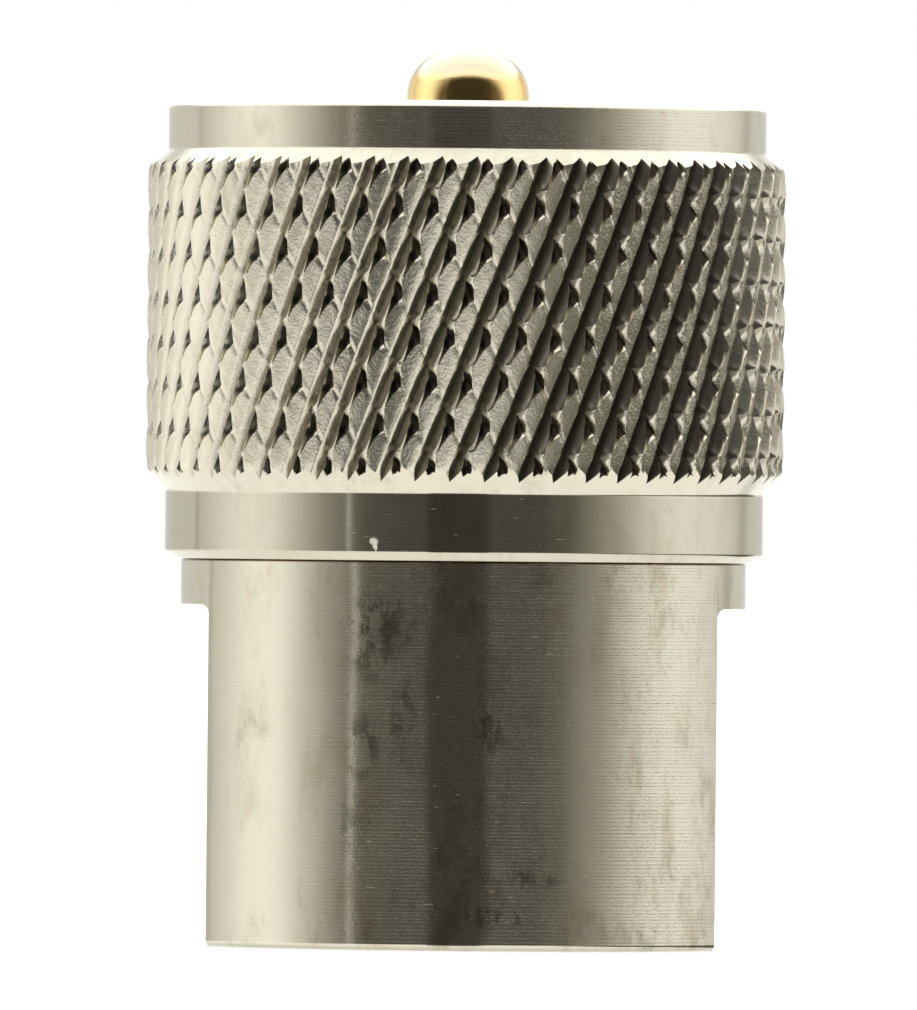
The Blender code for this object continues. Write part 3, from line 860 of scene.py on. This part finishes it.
NICKEL = (0.66, 0.625, 0.5)
NICKEL_STAIN = (0.32, 0.31, 0.22)
COPPERY = (0.52, 0.42, 0.31)
# Dark colour of the knurl's grime together with painted shade in its creases and slits
GRIME_AND_SHADE = (0.05, 0.04, 0.028)
SEAM_STAIN = (0.22, 0.12, 0.07)
CHIP = (0.6, 0.57, 0.48)
SMUDGE = (0.24, 0.23, 0.17)
GOLD = (1.0, 0.75, 0.32)
# Pale gold for the painted highlight on the nose's tip
HIGHLIGHT_GOLD = (0.74, 0.64, 0.46)
DULL_GOLD = (0.86, 0.6, 0.25)
# Dark gold for a painted dark reflection low on the front of the nose
DARK_REFLECTION_GOLD = (0.34, 0.22, 0.08)
BRONZE, TARNISH = (0.66, 0.47, 0.27), (0.4, 0.25, 0.13)
RUBBER, DUST = (0.025, 0.024, 0.023), (0.07, 0.066, 0.06)
SHADE_OF_PLASTIC = 0.93

# Sizes of the marks on the metal. Depths of relief are in millimetres.
FEED = 0.107 * MM
PIN_FEED = 0.09 * MM
SCRATCH_LENGTH, SCRATCH_WIDTH, SCRATCH_DEPTH = 0.6 * MM, 0.045 * MM, 0.0015
GRAIN_LENGTH, GRAIN_WIDTH, PLATE_GRAIN = 0.11 * MM, 0.035 * MM, 0.0023
PIN_LINES, PIN_GRAIN = 0.0004, 0.002
PORE_DEPTH = 0.009
NICK_SLOPE = 0.3 * PER_MM

# Stains along the plug body's side: how far in from its radius, and how far below the seam
STAIN_INNER, STAIN_OUTER = 0.15 * MM, 0.08 * MM
STAIN_LOW, STAIN_HIGH = 0.08 * MM, 0.04 * MM
FOOT_STAIN_FULL, FOOT_STAIN_END = 0.06 * MM, 0.16 * MM

# Grime and painted shade in the knurl's creases: from and to as shares of a ridge, and how dark it
# is at each
ROOT_DIRT_AND_SHADE = (0.1, 0.18, 0.95, 0.0)
WALL_DIRT_AND_SHADE = (0.24, 0.33, 0.9, 0.0)
FLANK_DIRT_AND_SHADE = (0.84, 0.97, 0.0, 0.85)
# The slit at the head of a land: how it widens, for each side how far it spreads and where it
# starts, and where along the land its grime and painted shade set in
SLIT_WIDENS_FROM, SLIT_CURVE = 0.3, 1.6
SLIT_LEFT, SLIT_RIGHT = (-0.21, 0.33), (0.2, 0.36)
SLIT_BORDER = (-0.01, 0.03)
SLIT_DIRT_AND_SHADE = (0.45, 0.78)
# How strong the grime and painted shade are by the cosine of the angle: -1 at the far left of the
# photographed side and 1 at its right. This change from side to side is painted shade, lighter
# where light reaches into the pits
GROOVE_SHADE_BY_SIDE = (-0.5, 0.75, 0.38, 1.0)
SLIT_SHADE_BY_SIDE = (-0.95, -0.5, 0.4, 1.0)
FAR_RIGHT_SHADE = (0.8, 0.97, 1.0, 0.35)
# The depths between which the grime and painted shade lie, and how soon they start beyond the
# bevels
DIRT_AND_SHADE_TOP = (0.02 * MM, 0.06 * MM)
DIRT_AND_SHADE_BOTTOM = (0.42 * MM, 0.46 * MM)
DIRT_AND_SHADE_FADE = 0.03 * MM

# Marks seen in the photograph: (degrees to the right, height) and (half width, half height)
NICK_HEAD = ((-17.25, 12.08 * MM), (0.11 * MM, 0.1 * MM))
NICK_TAIL = ((-17.0, 11.94 * MM), (0.06 * MM, 0.14 * MM))
SMUDGES = (
    ((-18.5, 9.3 * MM), (0.75 * MM, 1.2 * MM), 1.0),
    ((-12.5, 9.6 * MM), (0.5 * MM, 0.8 * MM), 0.6),
    ((-12.0, 6.9 * MM), (0.35 * MM, 1.3 * MM), 0.7),
    ((-20.5, 6.0 * MM), (0.5 * MM, 0.9 * MM), 0.8),
    ((-22.5, 3.8 * MM), (0.5 * MM, 0.9 * MM), 0.5),
    ((5.2, 6.8 * MM), (0.4 * MM, 1.1 * MM), 0.8),
    ((6.5, 1.0 * MM), (1.0 * MM, 0.3 * MM), 0.9),
    ((13.5, 2.1 * MM), (1.0 * MM, 0.25 * MM), 0.7),
)


def turning_lines(nodes, height, pitch):
    """The fine rings that a turning tool leaves, one feed apart, now deeper and now shallower."""
    wander = nodes.times(nodes.noise_along(height, 1.3), 14.0)
    wave = nodes.maths("SINE", nodes.times_plus(height, math.tau / pitch, wander))
    depth = nodes.between(nodes.noise_along(height, 7), 0.35, 0.65, 0.16, 0.34)
    fine = nodes.noise_along(height, 24)
    return nodes.times_plus(wave, depth, nodes.times(fine, 0.15))


def streaks(nodes, angle, height, length, width):
    """Noise drawn out round the axis, for scratches and for the grain of turned metal."""
    values = {"X": nodes.times(angle, BODY_RADIUS / length), "Z": nodes.times(height, 1 / width)}
    place = nodes.add("CombineXYZ", values)
    return nodes.noise(place.outputs[0], 1.0, detail=2.0, roughness=0.6)


def spot(nodes, angle, height, where, size, soft=0.5):
    """A soft oval on the side of the plug: 1 inside and 0 outside.

    The place is (degrees to the right of the photographed side, height), the size is half the
    width and half the height.
    """
    middle = math.radians(where[0]) - math.pi / 2
    across = nodes.times(nodes.minus(angle, middle), BODY_RADIUS / size[0])
    along = nodes.times(nodes.minus(height, where[1]), 1 / size[1])
    reach = nodes.plus(nodes.times(across, across), nodes.times(along, along))
    return nodes.between(reach, 1 - soft, 1 + soft, 1.0, 0.0)


def nickel(
    name,
    stain=0.35,
    lines=0.001,
    roughness=0.1,
    smudges=(),
    seam_dirt=0.0,
    waves=0.0,
    knurled=False,
):
    """Nickel plate with fine turning lines, ragged stains, scratches and handling marks.

    Lines and waves are depths in millimetres. Smudges are dark ragged patches, and the seam's
    stain lies along the top and the foot of the plug body's side.
    """
    nodes = Surface(name, NICKEL, 1.0)
    distance, height, angle = nodes.lengthwise()
    clouds = nodes.cloud(0.4, detail=5.0, roughness=0.68, along=0.55)
    ragged = nodes.cloud(1.7, detail=5.0, roughness=0.7, along=0.6)
    dark = nodes.times(nodes.between(clouds, 0.46, 0.66), nodes.between(ragged, 0.42, 0.66))
    colour = nodes.blend(nodes.times(dark, stain), NICKEL, NICKEL_STAIN)
    for where, size, weight in smudges:
        oval = spot(nodes, angle, height, where, size, 0.9)
        patch = nodes.times(oval, weight, nodes.between(ragged, 0.44, 0.6))
        colour = nodes.blend(patch, colour, SMUDGE)
    inner, outer = BODY_RADIUS - STAIN_INNER, BODY_RADIUS - STAIN_OUTER
    outside = nodes.between(distance, inner, outer, 0.0, seam_dirt)
    top = nodes.between(height, BODY_LENGTH - STAIN_LOW, BODY_LENGTH - STAIN_HIGH)
    colour = nodes.blend(nodes.times(top, outside), colour, SEAM_STAIN)
    foot = nodes.between(height, FOOT_STAIN_FULL, FOOT_STAIN_END, 0.6 * seam_dirt, 0.0)
    colour = nodes.blend(foot, colour, NICKEL_STAIN)
    copper = nodes.cloud(0.8, detail=4.0, roughness=0.6, along=0.5)
    colour = nodes.blend(nodes.between(copper, 0.5, 0.72, 0.0, 0.7 * stain), colour, COPPERY)
    scratches = streaks(nodes, angle, height, SCRATCH_LENGTH, SCRATCH_WIDTH)
    scratched = nodes.between(scratches, 0.71, 0.76)
    colour = nodes.blend(nodes.times(scratched, 0.5), colour, NICKEL_STAIN)
    gloss = nodes.between(clouds, 0.3, 0.75, roughness - 0.02, roughness + 0.03)
    gloss = nodes.times_plus(scratched, 0.2, gloss)
    grain = nodes.times(streaks(nodes, angle, height, GRAIN_LENGTH, GRAIN_WIDTH), PLATE_GRAIN)
    relief = nodes.times_plus(turning_lines(nodes, height, FEED), lines, grain)
    if knurled:
        relief = nodes.times(relief, nut_lines(nodes, height))
    relief = nodes.times_plus(scratched, -SCRATCH_DEPTH, relief)
    if waves:
        slow = nodes.cloud(0.3, detail=1.0, along=0.5)
        relief = nodes.times_plus(slow, waves, relief)
    if knurled:
        # Grime and painted shade in the knurl's creases and slits
        dirt_and_shade = knurl_dirt_and_shade(nodes, distance, height, angle)
        colour, gloss, relief = nut_marks(nodes, height, angle, dirt_and_shade, colour, gloss, relief)
    return nodes.finish(colour, gloss, relief)


def depth_in_knurl(nodes, distance, height):
    """How far a point of the nut's outside lies under the turned blank, in metres."""
    above_band = nodes.minus(height, BAND_TOP)
    above_rim = nodes.minus(height, RIM_FOOT)
    from_below = nodes.times_plus(above_band, BEVEL_RISE / LOWER_BEVEL, BAND_RADIUS)
    from_above = nodes.times_plus(above_rim, -BEVEL_RISE / UPPER_BEVEL, BAND_RADIUS)
    blank = nodes.least(from_below, from_above, KNURL_RADIUS)
    return nodes.minus(nodes.greatest(blank, BAND_RADIUS), distance)


def knurl_dirt_and_shade(nodes, distance, height, angle):
    """How dark grime and painted shade lie in the knurl: black in the slits, brown in the running
    grooves.

    There is less of it on the left of the photographed side than on the right.
    That difference is painted shade, lighter where light reaches into the pits.
    """
    turns = KNURL_TEETH / math.pi
    both = nodes.times_plus(angle, turns, (math.pi / 2 - KNURL_TURN) * turns)
    rise = nodes.times_plus(height, 1 / KNURL_ROW, -KNURL_START / KNURL_ROW)
    waver = nodes.times_plus(nodes.cloud(4, detail=4.0), 0.12, -0.06)
    u = nodes.maths("FRACT", nodes.plus(nodes.times(nodes.minus(both, rise), 0.5), waver))
    v = nodes.maths("FRACT", nodes.times(nodes.plus(both, rise), 0.5))
    # Painted shade that changes from side to side, lighter on the left
    side = nodes.maths("COSINE", angle)
    creases = [nodes.between(u, *limits) for limits in (ROOT_DIRT_AND_SHADE, WALL_DIRT_AND_SHADE, FLANK_DIRT_AND_SHADE)]
    grooves = nodes.times(nodes.greatest(*creases), nodes.between(side, *GROOVE_SHADE_BY_SIDE))
    rest = 1 - SLIT_WIDENS_FROM
    up_the_slit = nodes.greatest(nodes.times_plus(v, 1 / rest, -SLIT_WIDENS_FROM / rest), 0.0)
    widening = nodes.maths("POWER", up_the_slit, SLIT_CURVE)
    left = nodes.times_plus(widening, *SLIT_LEFT)
    right = nodes.times_plus(widening, *SLIT_RIGHT)
    past_left = nodes.between(nodes.minus(u, left), *SLIT_BORDER)
    before_right = nodes.between(nodes.minus(right, u), *SLIT_BORDER)
    slit = nodes.times(past_left, before_right, nodes.between(v, *SLIT_DIRT_AND_SHADE))
    slit = nodes.times(slit, nodes.between(side, *SLIT_SHADE_BY_SIDE))
    # Grime and painted shade together, with less painted shade at the far right edge
    dirt_and_shade = nodes.times(nodes.greatest(grooves, slit), nodes.between(side, *FAR_RIGHT_SHADE))
    under = depth_in_knurl(nodes, distance, height)
    sunk = nodes.between(under, *DIRT_AND_SHADE_TOP)
    outside = nodes.between(under, *DIRT_AND_SHADE_BOTTOM, 1.0, 0.0)
    foot = nodes.between(height, BAND_TOP, BAND_TOP + DIRT_AND_SHADE_FADE)
    head = nodes.between(height, RIM_FOOT - DIRT_AND_SHADE_FADE, RIM_FOOT, 1.0, 0.0)
    return nodes.times(dirt_and_shade, foot, head, sunk, outside)


def nut_lines(nodes, height):
    """Turning lines on the nut: plain on the rim, faint on the lower band, rolled away between."""
    band = nodes.between(height, BAND_TOP, BAND_TOP + 0.1 * MM, 0.35, 0.0)
    return nodes.plus(band, nodes.between(height, RIM_FOOT - 0.1 * MM, RIM_FOOT, 0.0, 1.2))


def nut_marks(nodes, height, angle, dirt_and_shade, colour, gloss, relief):
    """The nut's own marks: grime with painted shade and pores in the knurl, a duller lower band and
    a nick in it.
    """
    band = nodes.between(height, BAND_TOP - 0.15 * MM, BAND_TOP, 0.2, 0.0)
    colour = nodes.blend(band, colour, NICKEL_STAIN)
    # The knurl's creases darkened with grime and painted shade
    colour = nodes.blend(dirt_and_shade, colour, GRIME_AND_SHADE)
    above = nodes.between(height, BAND_TOP + 0.6 * MM, BAND_TOP + 0.9 * MM)
    below = nodes.between(height, NUT_FRONT - 2.2 * MM, NUT_FRONT - 2.0 * MM, 1.0, 0.0)
    knurl = nodes.times(above, below)
    gloss = nodes.times_plus(knurl, 0.08, gloss)
    gloss = nodes.greatest(gloss, nodes.times(dirt_and_shade, 0.5))
    pores = nodes.cloud(13, detail=3.0, roughness=0.65, along=0.8)
    relief = nodes.times_plus(nodes.times(pores, knurl), PORE_DEPTH, relief)
    nick = nodes.greatest(*[spot(nodes, angle, height, *part) for part in (NICK_HEAD, NICK_TAIL)])
    above_nick = nodes.minus(height, NICK_HEAD[0][1] - 0.2 * MM)
    relief = nodes.times_plus(nodes.times(nick, above_nick), NICK_SLOPE, relief)
    colour = nodes.blend(nick, colour, CHIP)
    return colour, nodes.greatest(gloss, nodes.times(nick, 0.35)), relief


def gold(name):
    """Gold plate, paler towards the tip as a painted highlight and deeper in colour towards the
    rim.
    """
    nodes = Surface(name, GOLD, 1.0)
    _, height, angle = nodes.lengthwise()
    tip = PIN_HIGH[2]
    rings = turning_lines(nodes, height, PIN_FEED)
    dull = nodes.cloud(1.2, detail=4.0)
    # Painted highlight: the nose turns paler towards its tip
    paler_tip = nodes.between(height, tip - 1.1 * MM, tip - 0.6 * MM)
    colour = nodes.blend(paler_tip, GOLD, HIGHLIGHT_GOLD)
    colour = nodes.blend(nodes.between(dull, 0.45, 0.8, 0.0, 0.35), colour, DULL_GOLD)
    # Painted dark reflection low on the nose's front, facing the camera
    foot = spot(nodes, angle, height, (2, tip - 1.6 * MM), (4.9 * MM, 0.74 * MM), 0.3)
    colour = nodes.blend(foot, colour, DARK_REFLECTION_GOLD)
    grain = nodes.cloud(14, detail=2.0)
    relief = nodes.times_plus(rings, PIN_LINES, nodes.times(grain, PIN_GRAIN))
    return nodes.finish(colour, nodes.between(dull, 0.3, 0.8, 0.09, 0.17), relief)


def bronze(name):
    nodes = Surface(name, BRONZE, 1.0)
    tarnish = nodes.cloud(1.1, detail=5.0)
    colour = nodes.blend(nodes.between(tarnish, 0.4, 0.7), BRONZE, TARNISH)
    gloss = nodes.between(tarnish, 0.35, 0.75, 0.22, 0.42)
    drawn = nodes.cloud(5, along=6)
    return nodes.finish(colour, gloss, drawn, 0.004 * MM, 0.4)


def white_plastic(name, colour):
    """Turned white plastic: waxy, with fine tool rings."""
    nodes = Surface(name, colour)
    distance, height, _ = nodes.lengthwise()
    place = nodes.add("CombineXYZ", {"X": distance, "Z": height})
    rings = nodes.noise(place.outputs[0], 9 * PER_MM)
    cloud = nodes.cloud(0.6, detail=4.0)
    shade = tuple(SHADE_OF_PLASTIC * part for part in colour)
    clouded = nodes.blend(nodes.between(cloud, 0.35, 0.7), colour, shade)
    gloss = nodes.between(cloud, 0.3, 0.7, 0.32, 0.46)
    nodes.shader.inputs["Subsurface Weight"].default_value = 0.15
    nodes.shader.inputs["Subsurface Radius"].default_value = (0.6 * MM, 0.6 * MM, 0.55 * MM)
    nodes.shader.inputs["Subsurface Scale"].default_value = 1.0
    return nodes.finish(clouded, gloss, rings, 0.008 * MM, 0.35)


def rubber(name):
    nodes = Surface(name, RUBBER)
    dust = nodes.cloud(2.5, detail=5.0)
    colour = nodes.blend(nodes.between(dust, 0.5, 0.75), RUBBER, DUST)
    gloss = nodes.between(dust, 0.3, 0.7, 0.55, 0.8)
    return nodes.finish(colour, gloss, nodes.cloud(12), 0.01 * MM, 0.4)


# Camera, light and floor


def photo_camera():
    """Level camera at the photograph's distance, rolled by the plug's lean."""
    data = bpy.data.cameras.new("photo_camera")
    camera = bpy.data.objects.new("photo_camera", data)
    bpy.context.scene.collection.objects.link(camera)
    eye = (BASE_ROW - PHOTO_HEIGHT / 2) * PIXEL
    aside = (AXIS_COLUMN - PHOTO_WIDTH / 2) * PIXEL
    camera.location = (-aside, -CAMERA_DISTANCE, eye)
    camera.rotation_euler = (math.pi / 2, -LEAN, 0)
    data.sensor_width = SENSOR
    data.lens = SENSOR * CAMERA_DISTANCE / (PHOTO_HEIGHT * PIXEL)
    data.clip_start = 0.01
    data.clip_end = 20
    bpy.context.scene.camera = camera


def rise_of(degrees):
    """The height at which a line that rises by this angle meets the studio's unit sphere."""
    return math.sin(math.radians(degrees))


# What the plug sees round it, level with it: degrees from the camera, plus to its right, and
# brightness
STUDIO_RING = (
    (-180, 1.5), (-164, 0.72), (-129, 0.78), (-121, 0.76), (-98, 1.17), (-88, 1.22), (-79, 1.12),
    (-68, 0.74), (-56, 0.38), (-47, 0.2), (-38, 0.085), (-24, 0.06), (-14, 0.055), (10, 0.055),
    (30, 0.06), (42, 0.12), (58, 0.42), (74, 0.88), (86, 1.15), (100, 1.18), (116, 1.05),
    (130, 0.82), (136, 0.56), (143, 0.78), (164, 0.72), (180, 1.5),
)
WARM_SHADE = 0.8
# Narrow upright bars in the ring: from, to and softness in degrees
BRIGHT_EDGE, BRIGHT_EDGE_LIGHT = (-45.2, -44.6, 0.4), 0.75
DARK_EDGE, DARK_EDGE_LIGHT = (-126.0, -124.2, 1.0), -0.2
# The ceiling, which is lower behind the camera
DARK_TOP = 0.3
CEILING = 0.52
CEILING_TILT = 0.5
CEILING_LIGHT = 1.4
CEILING_BEHIND = 0.9
# Light that the table throws up, and a little above the horizon
GLOW_BELOW = 2.2
GLOW_ABOVE = 0.075
GLOW_RISE = 0.06
# The white sheet under the plug
SHEET = rise_of(-17)
SHEET_EDGE = rise_of(-7)
SHEET_LIGHT = 1.25
# A dark hole in front, where the camera stands
HOLE_BAR = (-13.6, 9.2, 0.5)
HOLE_FOOT, HOLE_FULL, HOLE_SHARE = rise_of(-32), rise_of(-20), 0.85
HOLE_TOP = 0.1
HOLE_COLOUR = (0.045, 0.042, 0.036)
# A dark gap beyond the sheet's edge, on the right
GAP, GAP_EDGE = rise_of(-26), rise_of(-18)
GAP_FOOT, GAP_TOP = rise_of(-4), rise_of(-1.5)
GAP_FROM, GAP_FADE = math.radians(36), math.radians(26)
GAP_TO, GAP_END_FADE = math.radians(146), math.radians(12)
GAP_LIGHT = 0.16

WHITE = (1, 1, 1, 1)
FLOOR_SIZE = 6
FLOOR_COLOUR = (0.86, 0.86, 0.86, 1)
FLOOR_GLOW = 0.3


def bar(nodes, turn, start, end, soft):
    """A narrow upright bar in the ring: 1 from start to end, in degrees, and 0 beyond."""
    rise = nodes.between(turn, math.radians(start - soft), math.radians(start))
    fall = nodes.between(turn, math.radians(end), math.radians(end + soft), 1.0, 0.0)
    return nodes.times(rise, fall)


def empty_tree(owner):
    """The nodes of a world or material, with none in it yet."""
    nodes = Nodes(owner)
    nodes.tree.nodes.clear()
    return nodes


def show(nodes, output, share, first, second):
    """Ends a tree with two shaders: the first where the share is 0, the second where it is 1."""
    mix = nodes.add("MixShader", {0: share, 1: first.outputs[0], 2: second.outputs[0]})
    nodes.add(output, {"Surface": mix.outputs[0]})


def studio_light():
    """White to the eye. To the metal, a studio: dark in front, with soft panels at both sides."""
    world = bpy.data.worlds.new("studio")
    bpy.context.scene.world = world
    nodes = empty_tree(world)
    x, y, z = nodes.add("SeparateXYZ", {0: nodes.add("TexCoord").outputs["Generated"]}).outputs
    turn = nodes.maths("ARCTAN2", x, nodes.times(y, -1.0))
    ramp = nodes.add("ValToRGB", {0: nodes.times_plus(turn, 1 / math.tau, 0.5)})
    stops = ramp.color_ramp.elements
    for number, (degrees, light) in enumerate(STUDIO_RING):
        place = degrees / 360 + 0.5
        stop = stops[number] if number < 2 else stops.new(place)
        stop.position = place
        warm = WARM_SHADE + (1 - WARM_SHADE) * min(light, 1)
        stop.color = (light, light * (3 + warm) / 4, light * warm, 1)
    glow = nodes.times(nodes.least(z, 0.0), -GLOW_BELOW)
    glow = nodes.plus(glow, nodes.between(z, 0.0, GLOW_RISE, 0.0, GLOW_ABOVE))
    glow = nodes.times_plus(bar(nodes, turn, *BRIGHT_EDGE), BRIGHT_EDGE_LIGHT, glow)
    glow = nodes.times_plus(bar(nodes, turn, *DARK_EDGE), DARK_EDGE_LIGHT, glow)
    values = {"Fac": 1.0, "Color1": ramp.outputs["Color"], "Color2": glow}
    level = nodes.add("MixRGB", values, blend_type="ADD")
    tilted = nodes.times_plus(nodes.least(y, 0.0), CEILING_TILT, z)
    overhead = nodes.times_plus(nodes.greatest(y, 0.0), CEILING_BEHIND, CEILING_LIGHT)
    light = nodes.blend(nodes.between(tilted, DARK_TOP, CEILING), level.outputs["Color"], overhead)
    sheet = nodes.between(z, SHEET, SHEET_EDGE, 1.0, 0.0)
    light = nodes.blend(sheet, light, (SHEET_LIGHT, SHEET_LIGHT, SHEET_LIGHT))
    steep = nodes.between(z, HOLE_FOOT, HOLE_FULL, 0.0, HOLE_SHARE)
    under_top = nodes.between(z, 0.0, HOLE_TOP, 1.0, 0.0)
    hole = nodes.times(bar(nodes, turn, *HOLE_BAR), steep, under_top)
    light = nodes.blend(hole, light, HOLE_COLOUR)
    begins = nodes.between(turn, GAP_FROM, GAP_FROM + GAP_FADE)
    ends = nodes.between(turn, GAP_TO, GAP_TO + GAP_END_FADE, 1.0, 0.0)
    above = nodes.between(z, GAP, GAP_EDGE)
    below = nodes.between(z, GAP_FOOT, GAP_TOP, 1.0, 0.0)
    gap = nodes.times(begins, ends, above, below)
    light = nodes.blend(gap, light, (GAP_LIGHT, GAP_LIGHT, GAP_LIGHT * WARM_SHADE))
    panels = nodes.add("Background", {"Color": light})
    white = nodes.add("Background", {"Color": WHITE})
    path = nodes.add("LightPath")
    show(nodes, "OutputWorld", path.outputs["Is Camera Ray"], panels, white)


def floor():
    """A wide, pale floor that shows white, with the plug's own shadow on it."""
    bpy.ops.mesh.primitive_plane_add(size=FLOOR_SIZE, location=(0, 0, 0))
    plane = bpy.context.object
    plane.name = "floor"
    material = bpy.data.materials.new("pale_floor")
    nodes = empty_tree(material)
    diffuse = nodes.add("BsdfDiffuse", {"Color": FLOOR_COLOUR})
    glow = nodes.add("Emission", {"Color": WHITE, "Strength": FLOOR_GLOW})
    both = nodes.add("AddShader", {0: diffuse.outputs[0], 1: glow.outputs[0]})
    path = nodes.add("LightPath")
    rays = [path.outputs[f"Is {kind} Ray"] for kind in ("Camera", "Glossy", "Transmission")]
    show(nodes, "OutputMaterial", nodes.greatest(*rays), diffuse, both)
    plane.visible_glossy = False
    plane.data.materials.append(material)


def build():
    photo_camera()
    studio_light()
    floor()
    coupling_nut(nickel("knurled_nickel", knurled=True))
    marks = {"smudges": SMUDGES, "seam_dirt": 0.9, "waves": 0.05}
    plug_body(nickel("turned_nickel", stain=0.7, roughness=0.08, **marks))
    centre_contact(gold("gold_plate"))
    front_insulator(white_plastic("white_insulator", (0.86, 0.86, 0.84)))
    rear_insulator(white_plastic("rear_insulator_plastic", (0.84, 0.84, 0.82)))
    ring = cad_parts["retaining_ring"]
    for place in ring.material_slots:
        place.material = bronze("spring_bronze")
    braid_clamp(nickel("clamp_nickel", stain=0.6, lines=0.0014, roughness=0.24))
    cable_gasket(rubber("gasket_rubber"))
    slip_washer(nickel("washer_nickel", stain=0.4, roughness=0.22))
    gland_nut(nickel("gland_nickel", stain=0.5, lines=0.0014, roughness=0.2))
    bpy.context.scene.view_settings.view_transform = "Standard"


build()
